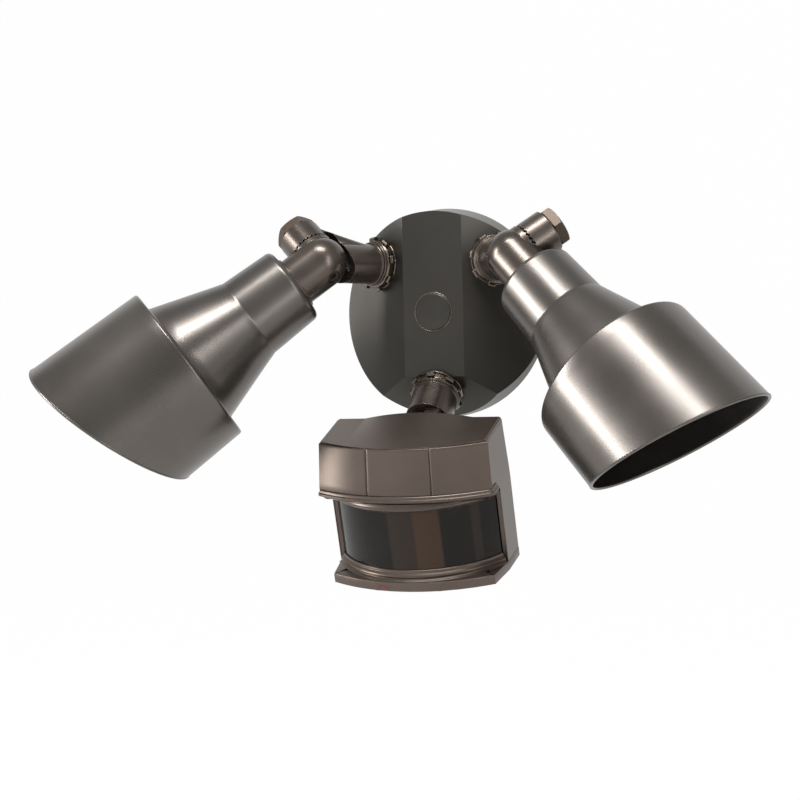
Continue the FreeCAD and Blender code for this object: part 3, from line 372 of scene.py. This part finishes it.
MM = 0.001
OUT_OF_WALL = np.array([0.0, -1.0, 0.0])
TO_THE_RIGHT = np.array([1.0, 0.0, 0.0])
plate_low, plate_high = (np.array(corner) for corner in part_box("cover_plate"))
plate_radius = (plate_high[0] - plate_low[0]) / 2
gasket_low, gasket_high = (np.array(corner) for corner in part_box("wall_gasket"))
gasket_depth = gasket_high[1] - gasket_low[1]
GASKET_WIDTH, GASKET_SET_BACK, GASKET_ROUND = 7.4 * MM, 0.7 * MM, 0.4 * MM
outer, inner = plate_radius - GASKET_SET_BACK, plate_radius - GASKET_SET_BACK - GASKET_WIDTH
gasket_profile = [(inner, 0.0), (outer - GASKET_ROUND, 0.0), (outer, GASKET_ROUND),
                  (outer, gasket_depth - GASKET_ROUND), (outer - GASKET_ROUND, gasket_depth),
                  (inner, gasket_depth)]
gasket_points = spun(gasket_profile, np.zeros(3), OUT_OF_WALL, TO_THE_RIGHT)
gasket = add_piece("foam_gasket", gasket_points, grid_faces(len(gasket_profile), PLATE_AROUND, True, True), "base",
                   foam)
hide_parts("wall_gasket")
dress(zinc, "mounting_strap")

# The wall plate, a deep drawn shell with three flat facets, finished in dark bronze enamel,
# with the bolt through its middle and the plug, in the same enamel, that hides the bolt's head.
plate_enamel = surface("plate_enamel", (0.082, 0.076, 0.068), (0.064, 0.060, 0.054), (0.24, 0.20, 0.16),
                       0.32, metallic=0.75, wear=0.30, cloud=14.0, grain=1500.0, depth=0.000003)
dress(plate_enamel, "cover_plate", "bolt_plug")
bolt_steel = surface("bolt_steel", (0.45, 0.42, 0.38), (0.33, 0.31, 0.29), (0.7, 0.68, 0.64), 0.3,
                     metallic=1.0, wear=0.6, grain=2500.0, depth=0.000008)
dress(bolt_steel, "mounting_bolt")
plug_low, plug_high = (np.array(corner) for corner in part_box("bolt_plug"))
plug_radius = (plug_high[0] - plug_low[0]) / 2
plug_middle = np.array([(plug_high[0] + plug_low[0]) / 2, plate_low[1], (plug_high[2] + plug_low[2]) / 2])
LIP = 0.45 * MM
turn = np.linspace(0.0, 2 * math.pi, 12, endpoint=False)
lip_profile = [(plug_radius + LIP * (0.2 + math.cos(a)), LIP * math.sin(a)) for a in turn]
# The rolled lip round the plug is real, but it is coloured a much lighter bronze than the plate: a painted
# highlight along the ring.
lip_painted_highlight = surface("plug_lip", (0.21, 0.18, 0.15), (0.17, 0.145, 0.12), (0.34, 0.29, 0.24), 0.26,
                     metallic=0.85, wear=0.5, grain=1500.0, depth=0.000008)
add_piece("plug_lip", spun(lip_profile, plug_middle, OUT_OF_WALL, TO_THE_RIGHT),
          grid_faces(len(lip_profile), PLATE_AROUND, True, True), "base", lip_painted_highlight)

# The lock nuts and their washers, pressed steel in an aged bronze wash. Their lugs are rubbed
# bright by the spanner.
nut_bronze = surface("lock_nut_bronze", (0.20, 0.165, 0.135), (0.135, 0.11, 0.09), (0.50, 0.44, 0.37),
                     0.24, metallic=1.0, wear=0.8, cloud=90.0, grain=2000.0, depth=0.00001)
dress(nut_bronze, "left_lock_nut", "right_lock_nut", "sensor_lock_nut")
dress(nut_bronze, "left_washer", "right_washer", "sensor_washer")

# The lamp arms, die cast with a threaded stem and a toothed knuckle, in bronze enamel.
arm_enamel = surface("arm_enamel", (0.130, 0.108, 0.092), (0.096, 0.080, 0.068), (0.42, 0.34, 0.27),
                     0.27, metallic=0.85, wear=0.4, cloud=45.0, grain=1600.0, depth=0.000004)
dress(arm_enamel, "left_arm", "right_arm")
dress(arm_enamel, "left_holder", "right_holder")
# The clamp screws and caps take a bronze darker than the arms': partly their own paint, partly painted shade for
# the clamp caps, which sit in shadow.
screw_bronze_and_painted_shade = surface("screw_bronze_and_painted_shade", (0.100, 0.078, 0.062), (0.074, 0.058, 0.047), (0.30, 0.24, 0.19), 0.42,
                      metallic=0.9, wear=0.5, grain=2200.0, depth=0.00001)
dress(screw_bronze_and_painted_shade, "left_clamp_screw", "right_clamp_screw")
dress(screw_bronze_and_painted_shade, "left_clamp_cap", "right_clamp_cap")

# The lamp sockets: a glazed porcelain body, a brass screw shell and a sprung centre contact,
# with the rubber seal that grips the neck of the lamp.
porcelain = surface("porcelain", (0.78, 0.76, 0.72), (0.70, 0.68, 0.64), (0.84, 0.82, 0.79), 0.14,
                    wear=0.3, cloud=60.0, grain=700.0, depth=0.00001, coat=0.6, coat_roughness=0.06)
dress(porcelain, "left_socket", "right_socket")
brass = surface("shell_brass", (0.78, 0.58, 0.28), (0.62, 0.44, 0.20), (0.9, 0.74, 0.44), 0.26,
                metallic=1.0, wear=0.6, cloud=80.0, grain=1800.0, depth=0.00001)
dress(brass, "left_screw_shell", "right_screw_shell", "left_center_contact", "right_center_contact")
seal_rubber = surface("seal_rubber", (0.030, 0.029, 0.028), (0.020, 0.019, 0.019), (0.06, 0.06, 0.06),
                      0.6, wear=0.3, grain=1500.0, depth=0.00003)
dress(seal_rubber, "left_neck_seal", "right_neck_seal")

# The bell shades, spun from sheet: a cup neck, a cone, a flat shoulder and a hood whose mouth is cut
# on a slant and rolled. Satin bronze enamel covers them, and round nuts hold them on the holders.
joints = {joint["name"]: joint for joint in frame["joints"]}


def unit(values):
    """A direction of length one."""
    values = np.array(values, float)
    return values / np.linalg.norm(values)


def lamp_directions(name, side, swing):
    """A lamp's knuckle centre, the way that it aims and its knuckle's axis: the aim lies in the plane
    across the knuckle, turned by the swing from the arm's own direction."""
    stem, knuckle = (unit(joints[name + part]["axis"]) for part in ("_stem_turn", "_knuckle"))
    swing = math.radians(swing)
    aim = stem * math.cos(swing) + np.cross(knuckle, stem) * side * math.sin(swing)
    return np.array(joints[name + "_knuckle"]["pos_m"]), unit(aim), knuckle


LAMPS = {"left": lamp_directions("left", -1, 48.5), "right": lamp_directions("right", 1, 54.3)}
HOOD_TURNS = {"left": -72.0, "right": 60.0}
NECK_REAR, NECK_FRONT, SHOULDER, LONG_SIDE, SHORT_SIDE = (n * MM for n in (20.5, 54.8, 98.3, 177.2, 137.4))
NECK_REAR_RADIUS, NECK_RADIUS, CONE_RADIUS, HOOD_RADIUS, MOUTH_RADIUS = (
    n * MM for n in (24.1, 25.55, 39.9, 50.9, 52.7))
WALL, NECK_ROUND, NECK_FOLD, SHOULDER_ROUND, TUBE_HOLE = (n * MM for n in (1.4, 3.5, 0.8, 1.6, 15.1))
AROUND = 200


def arc_rows(middle_radius, middle_height, size, start, end, steps):
    """Points on an arc: middle + size * (cosine, sine) of angles in degrees from start to end."""
    angles = np.radians(np.linspace(start, end, steps))
    return [(middle_radius + size * math.cos(a), middle_height + size * math.sin(a)) for a in angles]


def shade_profile():
    """Rows of (radius, height) up the outside of the shade, round its lip and back down the inside. The
    hood's rows end at the mouth's height: middle + half the slant * cosine of the angle round the axis."""
    angle = np.linspace(0.0, 2 * math.pi, AROUND, endpoint=False)
    mouth = (LONG_SIDE + SHORT_SIDE) / 2 + (LONG_SIDE - SHORT_SIDE) / 2 * np.cos(angle)
    slope = (MOUTH_RADIUS - HOOD_RADIUS) / (LONG_SIDE - SHOULDER)
    rows = [(TUBE_HOLE, NECK_REAR)]
    rows += arc_rows(NECK_REAR_RADIUS - NECK_ROUND, NECK_REAR + NECK_ROUND, NECK_ROUND, -90, 0, 8)
    rows += [(NECK_RADIUS - 0.1 * MM, NECK_FRONT - NECK_FOLD), (NECK_RADIUS, NECK_FRONT),
             (NECK_RADIUS + 0.35 * MM, NECK_FRONT + NECK_FOLD)]
    rows += [(NECK_RADIUS + (CONE_RADIUS - NECK_RADIUS) * t,
              NECK_FRONT + (SHOULDER - NECK_FRONT) * t) for t in np.linspace(0.1, 0.975, 8)]
    rows += [(CONE_RADIUS + 0.2 * MM, SHOULDER - 0.3 * MM), (CONE_RADIUS + 0.8 * MM, SHOULDER)]
    rows += arc_rows(HOOD_RADIUS - SHOULDER_ROUND, SHOULDER + SHOULDER_ROUND, SHOULDER_ROUND, -90, 0, 6)
    start = SHOULDER + SHOULDER_ROUND
    for t in np.linspace(0.08, 1.0, 10):
        rows.append((HOOD_RADIUS + slope * (LONG_SIDE - SHOULDER) * t, start + (mouth - WALL - start) * t))
    rows += [(MOUTH_RADIUS - WALL / 2 + WALL * 0.75 * math.cos(a),
              mouth - WALL * 0.75 + WALL * 0.75 * math.sin(a)) for a in np.radians(np.linspace(0, 180, 9))]
    for t in np.linspace(0.96, 0.04, 8):
        rows.append((HOOD_RADIUS - WALL + slope * (LONG_SIDE - SHOULDER) * t, start + (mouth - WALL - start) * t))
    rows += [(HOOD_RADIUS - WALL - 0.7 * MM, SHOULDER + WALL), (CONE_RADIUS - WALL, SHOULDER + WALL),
             (NECK_RADIUS - WALL, NECK_FRONT + WALL), (NECK_REAR_RADIUS - WALL, NECK_REAR + NECK_ROUND),
             (NECK_REAR_RADIUS - NECK_ROUND, NECK_REAR + WALL), (TUBE_HOLE, NECK_REAR + WALL)]
    return rows


shade_enamel = surface("shade_enamel", (0.150, 0.136, 0.124), (0.118, 0.106, 0.096), (0.40, 0.35, 0.30),
                       0.29, metallic=0.9, wear=0.25, cloud=18.0, grain=1700.0, depth=0.0000025)
rows = shade_profile()
for name, (centre, aim, knuckle) in LAMPS.items():
    angle = math.radians(HOOD_TURNS[name])
    long_way = knuckle * math.cos(angle) + np.cross(aim, knuckle) * math.sin(angle)
    shade = add_piece(name + "_bell_shade", spun(rows, centre, aim, long_way, AROUND),
                      grid_faces(len(rows), AROUND, True, True), name + "_lamp", shade_enamel)
    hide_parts(name + "_shade")
dress(shade_enamel, "left_shade_nut", "right_shade_nut")

# The sensor's arm, cast like the lamps' arms, with a stem and a toothed tongue. The head hangs
# from the tongue on a pivot screw with a nut.
dress(arm_enamel, "sensor_arm")
# The pivot screw and nut share the screws' darkened bronze, which holds painted shade.
dress(screw_bronze_and_painted_shade, "sensor_pivot_screw", "sensor_pivot_nut")

# The sensor head, moulded in bronze plastic: the housing behind, and over it a cover whose roof rises
# in a low arch, a bowed and raked visor with two grooves, a stepped moulding, and a base rail.
head_plastic = surface("head_plastic", (0.128, 0.100, 0.082), (0.098, 0.077, 0.064), (0.30, 0.25, 0.21),
                       0.31, metallic=0.75, wear=0.25, cloud=22.0, grain=1300.0, depth=0.000004,
                       wear_radius=0.0008)
dress(head_plastic, "sensor_housing")
HEAD_TILT = math.radians(18.1)
PIVOT_BACK, PIVOT_DROP = 47.6 * MM, 8.7 * MM
head_up = np.array([0.0, -math.sin(HEAD_TILT), math.cos(HEAD_TILT)])
head_back = np.array([0.0, math.cos(HEAD_TILT), math.sin(HEAD_TILT)])
head_origin = np.array(joints["sensor_tilt"]["pos_m"]) - PIVOT_BACK * head_back + PIVOT_DROP * head_up
FLARE = math.tan(math.radians(12.7))
ROOF_REAR, ROOF_SLOPE = 42.7 * MM, math.radians(4.1)
VISOR_LOW = -26.3 * MM
HEAD_HALF, CORNER_GAP = 50.5 * MM, 0.4 * MM
WING_FRONT = 20.6 * MM


def in_head(right, back, up):
    """Points of the head's own axes, in metres, brought to their place in the fixture."""
    right, back, up = np.broadcast_arrays(right, back, up)
    return (head_origin + right[..., None] * TO_THE_RIGHT + back[..., None] * head_back + up[..., None] * head_up)


def bow(right, half, apex, corner):
    """How far back a bowed front lies: an arc through the corners at half and the apex in the middle."""
    rise = corner - apex
    radius = (half * half + rise * rise) / (2 * rise)
    return apex + radius - np.sqrt(radius * radius - right * right)


def swept(path, outward, profile):
    """A profile of (out, up, forward) carried along a level path: path + out * outward - forward."""
    rows = []
    for out, up, forward in profile:
        right = path[:, 0] + out * outward[:, 0]
        back = path[:, 1] + out * outward[:, 1] - forward
        rows.append(in_head(right, back, np.full(len(path), up)))
    return np.stack(rows)


def front_path(half, apex, corner, rear, count=72):
    """A level path round the front: from the left rear, through the bowed front, to the right rear,
    with its outward directions taken from its own slope."""
    right = np.linspace(-half, half, count)
    back = bow(right, half, apex, corner)
    path = np.concatenate([[[-half, rear], [-half, corner + CORNER_GAP]],
                           np.stack([right, back], 1),
                           [[half, corner + CORNER_GAP], [half, rear]]])
    slope = np.gradient(path, axis=0)
    slope[0], slope[-1] = path[1] - path[0], path[-1] - path[-2]
    slope /= np.linalg.norm(slope, axis=1)[:, None]
    return path, np.stack([slope[:, 1], -slope[:, 0]], 1)


def closed_sweep(name, points, body, material, sharp=35.0):
    """A closed profile carried along an open path, with a face over each end."""
    rows, columns = points.shape[:2]
    faces = grid_faces(rows, columns, closed_rows=True)
    faces += [[row * columns for row in range(rows)], [row * columns + columns - 1 for row in range(rows)]]
    return add_piece(name, points, faces, body, material, sharp)


# The visor: a bowed skin that rakes forward towards its foot. The grooves are V cuts that follow the
# rake; between rows the depth below the roof gives the rake, and the ends turn back round the corners.
VISOR_HALF, VISOR_APEX, VISOR_CORNER, VISOR_SKIN = 51.2 * MM, -1.8 * MM, 10.4 * MM, 1.5 * MM
GROOVE_X, GROOVE_HALF, GROOVE_DEPTH = 19.0 * MM, 0.55 * MM, 0.8 * MM
groove_columns = np.array([-1.6, -1.0, -0.8, -0.3, 0.0, 0.3, 0.8, 1.0, 1.6]) * GROOVE_HALF
visor_columns = np.unique(np.concatenate(
    [np.linspace(-VISOR_HALF, VISOR_HALF, 61)] + [sign * GROOVE_X + groove_columns for sign in (-1, 1)]))
groove = np.clip(1.15 - np.abs(np.abs(visor_columns) - GROOVE_X) / GROOVE_HALF, 0.0, 1.0) * GROOVE_DEPTH
face_line = bow(visor_columns, VISOR_HALF, VISOR_APEX, VISOR_CORNER)
skin_rows = []
for inset, depth in [(VISOR_SKIN, 0.0), (0.5 * MM, 0.0), (0.12 * MM, 0.12 * MM), (0.0, 0.5 * MM)] + [
        (0.0, d) for d in np.linspace(2.0, 25.6, 9) * MM] + [
        (0.12 * MM, -VISOR_LOW - 0.12 * MM), (0.5 * MM, -VISOR_LOW), (VISOR_SKIN, -VISOR_LOW)]:
    widen = depth * FLARE * 0.2
    right = visor_columns * (1.0 + (widen - inset * 0.2) / VISOR_HALF)
    back = face_line + inset + groove * (inset < VISOR_SKIN) - depth * FLARE
    skin_rows.append(in_head(right, back, np.full(len(visor_columns), -depth)))
visor = closed_sweep("visor_face", np.stack(skin_rows), "sensor_head", head_plastic, 50.0)
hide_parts("visor_panel")

# The cover: one skin of roof and cheeks. Its rows run from the left foot up the cheek, over the arched
# roof and down to the right foot; its columns run from the front to the back.
ARCH_HALF, ARCH_RISE, COVER_SKIN, EAVE = 33.0 * MM, 3.2 * MM, 0.5 * MM, 1.2 * MM
share = np.linspace(0.0, 1.0, 13)
roof_right = np.linspace(-1.0, 1.0, 81) * (HEAD_HALF - EAVE)
front_line = bow(roof_right, VISOR_HALF, VISOR_APEX + 0.5 * MM, VISOR_CORNER + CORNER_GAP)
roof_back = front_line[:, None] + (ROOF_REAR - front_line[:, None]) * share
arch = np.clip(1.0 - (roof_right[:, None] / ARCH_HALF) ** 2, 0.0, None) * ARCH_RISE * share ** 1.15
roof_up = 0.45 * MM + np.maximum(roof_back, 0.0) * math.tan(ROOF_SLOPE) + arch
roof = in_head(roof_right[:, None] + 0.0 * share, roof_back, roof_up)


def cheek(sign):
    """One cheek, from under the eave down to the base rail: a flat side whose front edge stands behind
    the visor above and at the wing's front below."""
    rows = []
    for up in np.concatenate([[-0.35 * MM, -0.8 * MM, -1.6 * MM], np.linspace(-4.0, -26.2, 8) * MM,
                              np.linspace(-31.6, -77.3, 10) * MM]):
        lead = VISOR_CORNER + CORNER_GAP + up * FLARE if up > VISOR_LOW else WING_FRONT
        half = (HEAD_HALF - 0.35 * MM * (up > -0.5 * MM) + 1.1 * MM * min(1.0, up / VISOR_LOW)
                + 0.15 * MM * (up < VISOR_LOW))
        back = lead + (ROOF_REAR - lead) * share
        lift = max(0.0, 1.0 + up / (3.0 * MM)) * back * math.tan(ROOF_SLOPE)
        rows.append(in_head(np.full(len(share), sign * half), back, np.full(len(share), up) + lift))
    return np.stack(rows)


cover_rows = np.concatenate([cheek(-1)[::-1], roof, cheek(1)])
# The inner skin lies nearer to the middle of the head, by the cover's own thickness.
head_middle = in_head(np.zeros(1), np.full(1, 22.0 * MM), np.full(1, -40.0 * MM))[0]
toward = cover_rows - head_middle
inner_rows = head_middle + toward * (1.0 - COVER_SKIN / np.linalg.norm(toward, axis=-1, keepdims=True))
shell_points = np.concatenate([cover_rows, inner_rows[:, ::-1]], 1)
shell_rows, shell_columns = shell_points.shape[:2]
shell_faces = grid_faces(shell_rows, shell_columns, closed_columns=True)
shell_faces += [list(range(shell_columns)),
                [(shell_rows - 1) * shell_columns + n for n in range(shell_columns)]]
add_piece("head_cover", shell_points, shell_faces, "sensor_head", head_plastic, 32.0)

# The moulding under the visor: a flat band, a round bead and a cove that steps in to the lens.
TRIM_HALF = 51.4 * MM
trim_path, trim_out = front_path(TRIM_HALF, VISOR_APEX, VISOR_CORNER, WING_FRONT)
ahead_by = -VISOR_LOW * FLARE
trim_profile = [(-2.5, -26.32), (0.6, -26.32), (1.0, -26.6), (1.05, -27.4), (1.3, -27.9), (1.9, -28.2),
                (2.2, -28.7), (2.2, -29.3), (1.9, -29.8), (1.2, -30.1), (0.4, -30.4), (-0.4, -31.1), (-1.6, -31.9),
                (-2.6, -32.5), (-6.0, -32.6)]
trim = closed_sweep("visor_moulding", swept(trim_path, trim_out, [
    (out * MM, up * MM, ahead_by) for out, up in trim_profile]), "sensor_head", head_plastic, 30.0)
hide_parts("visor_trim")

# The base rail: it bows in front, rakes back at the corners and carries the lens's lower bead.
RAIL_HALF, RAIL_APEX, RAIL_CORNER, RAIL_SIDE, RAIL_TURN = (n * MM for n in (49.1, -12.4, 0.4, 51.9, 21.0))
rail_right = np.linspace(-49.1, 49.1, 72) * MM
rail_front = bow(rail_right, RAIL_HALF, RAIL_APEX, RAIL_CORNER)
rail_path = np.concatenate([[[-RAIL_SIDE, ROOF_REAR], [-RAIL_SIDE, RAIL_TURN]],
                            np.stack([rail_right, rail_front], 1),
                            [[RAIL_SIDE, RAIL_TURN], [RAIL_SIDE, ROOF_REAR]]])
rail_edge = np.diff(rail_path, axis=0)
rail_edge = (np.stack([rail_edge[:, 1], -rail_edge[:, 0]], 1)
             / np.linalg.norm(rail_edge, axis=1)[:, None])
rail_out = np.concatenate([rail_edge[:1], rail_edge[:-1] + rail_edge[1:], rail_edge[-1:]])
rail_out /= np.linalg.norm(rail_out, axis=1)[:, None]
rail_profile = [(-13.0, -77.30), (-0.5, -77.36), (-0.12, -77.5), (0.0, -77.9), (0.0, -82.5), (-0.12, -82.9),
                (-0.5, -83.05), (-2.0, -83.05)]
closed_sweep("base_rail", swept(rail_path, rail_out, [(out * MM, up * MM, 0.0) for out, up in rail_profile]),
             "sensor_head", head_plastic, 30.0)

# The lens: a bowed film from cheek to cheek, smoked nearly black, with three bands across its width a little
# lighter than the rest, one of them brown. Beads hold its upper and lower edges.
LENS_RADIUS, LENS_FRONT, LENS_END, LENS_WALL = 56.85 * MM, -7.1 * MM, 20.2 * MM, 1.2 * MM
LENS_HIGH, LENS_FOOT = -35.4 * MM, -72.6 * MM
sweep_angle = math.acos(1.0 - (LENS_END - LENS_FRONT) / LENS_RADIUS)
lens_angle = np.linspace(-sweep_angle, sweep_angle, 97)


def lens_rows(profile):
    """A profile of (out, up) carried along the lens's bow, an arc about an upright axis in the head."""
    return np.stack([in_head((LENS_RADIUS + out) * np.sin(lens_angle),
                             LENS_FRONT + LENS_RADIUS - (LENS_RADIUS + out) * np.cos(lens_angle),
                             np.full(len(lens_angle), up)) for out, up in profile])


lens_film = surface("lens_film", (0.013, 0.011, 0.010), (0.009, 0.008, 0.007), (0.03, 0.027, 0.024),
                    0.14, wear=0.1, cloud=40.0, grain=900.0, depth=0.0000015, coat=0.06, coat_roughness=0.08,
                    specular=0.14)
FIELDS = [(-9.0, 6.0, (0.026, 0.019, 0.015)), (6.0, 21.0, (0.046, 0.027, 0.017)),
          (37.0, 41.0, (0.024, 0.018, 0.014))]
FIELD_EDGE = 0.7 * MM
film_tree = lens_film.node_tree
film_body = film_tree.nodes["Principled BSDF"]
film_place = film_tree.nodes.new("ShaderNodeTexCoord")
film_axes = film_tree.nodes.new("ShaderNodeSeparateXYZ")
link(film_tree, film_place.outputs["Object"], film_axes.inputs[0])
film_colour = film_body.inputs["Base Color"].links[0].from_socket
for left_edge, right_edge, tint in FIELDS:
    left_at, right_at = left_edge * MM, right_edge * MM
    begins = spread(film_tree, film_axes.outputs["X"], left_at - FIELD_EDGE, left_at + FIELD_EDGE, 0.0, 1.0)
    ends = spread(film_tree, film_axes.outputs["X"], right_at - FIELD_EDGE, right_at + FIELD_EDGE, 1.0, 0.0)
    inside = math_node(film_tree, "MULTIPLY", begins, ends)
    film_colour = colour_mix(film_tree, inside, film_colour, tint)
link(film_tree, film_colour, film_body.inputs["Base Color"])
film_profile = [(0.0, LENS_HIGH), (0.0, LENS_FOOT), (-LENS_WALL, LENS_FOOT), (-LENS_WALL, LENS_HIGH)]
lens = closed_sweep("lens_window", lens_rows(film_profile), "sensor_head", lens_film, 40.0)
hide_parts("lens")
bead_profile = [(out * MM, up * MM) for out, up in (
    (-0.4, -71.6), (0.6, -71.6), (1.0, -71.9), (1.1, -72.5), (1.0, -73.1), (1.5, -73.7), (2.3, -74.2), (2.7, -74.9),
    (2.6, -75.7), (2.2, -76.3), (2.6, -76.7), (3.4, -77.0), (4.2, -77.45), (-3.0, -77.45), (-3.0, -73.0))]
hood_profile = [(out * MM, up * MM) for out, up in (
    (-1.6, -30.4), (2.6, -30.4), (3.6, -31.4), (3.9, -32.4), (3.4, -32.9), (3.2, -33.3), (3.3, -33.9), (3.0, -34.5),
    (2.4, -34.9), (1.6, -35.2), (1.1, -35.6), (0.6, -36.2), (-1.6, -36.2))]
closed_sweep("lens_hood", lens_rows(hood_profile), "sensor_head", head_plastic, 30.0)
bead = closed_sweep("lens_bead", lens_rows(bead_profile), "sensor_head", head_plastic, 30.0)
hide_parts("lens_ring")

# Inside the head: the circuit board with the sensing can, and the red window in the base's front.
board_green = surface("board_green", (0.02, 0.10, 0.04), (0.015, 0.07, 0.03), (0.5, 0.4, 0.2), 0.35,
                      wear=0.3, grain=900.0)
dress(board_green, "circuit_board")
can_steel = surface("can_steel", (0.55, 0.55, 0.53), (0.45, 0.45, 0.44), (0.7, 0.7, 0.69), 0.25,
                    metallic=1.0, grain=1500.0)
dress(can_steel, "pir_element")
red_window = surface("red_window", (0.16, 0.016, 0.012), (0.10, 0.012, 0.01), (0.2, 0.03, 0.025), 0.3,
                     wear=0.2, grain=900.0, coat=0.2)
WINDOW_LEFT, WINDOW_RIGHT, WINDOW_LOW, WINDOW_HIGH = (n * MM for n in (-18.0, -11.8, -81.4, -79.3))
PANE_COLUMNS = 9
pane_right = np.linspace(WINDOW_LEFT, WINDOW_RIGHT, PANE_COLUMNS)
pane_front = bow(pane_right, RAIL_HALF, RAIL_APEX, RAIL_CORNER)
pane_rows = [in_head(pane_right, pane_front + back * MM, np.full(PANE_COLUMNS, up)) for back, up in (
    (1.0, WINDOW_LOW), (0.05, WINDOW_LOW), (-0.1, WINDOW_LOW + 0.15 * MM), (-0.1, WINDOW_HIGH - 0.15 * MM),
    (0.05, WINDOW_HIGH), (1.0, WINDOW_HIGH))]
pane = closed_sweep("indicator_pane", np.stack(pane_rows), "sensor_head", red_window, 30.0)
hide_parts("indicator")

# The two controls on the underside, moulded in black plastic: the range knob and the time switch.
knob_plastic = surface("knob_plastic", (0.030, 0.028, 0.026), (0.022, 0.020, 0.019), (0.09, 0.085, 0.08),
                       0.45, wear=0.5, grain=1300.0, depth=0.00003)
dress(knob_plastic, "range_knob", "time_switch")
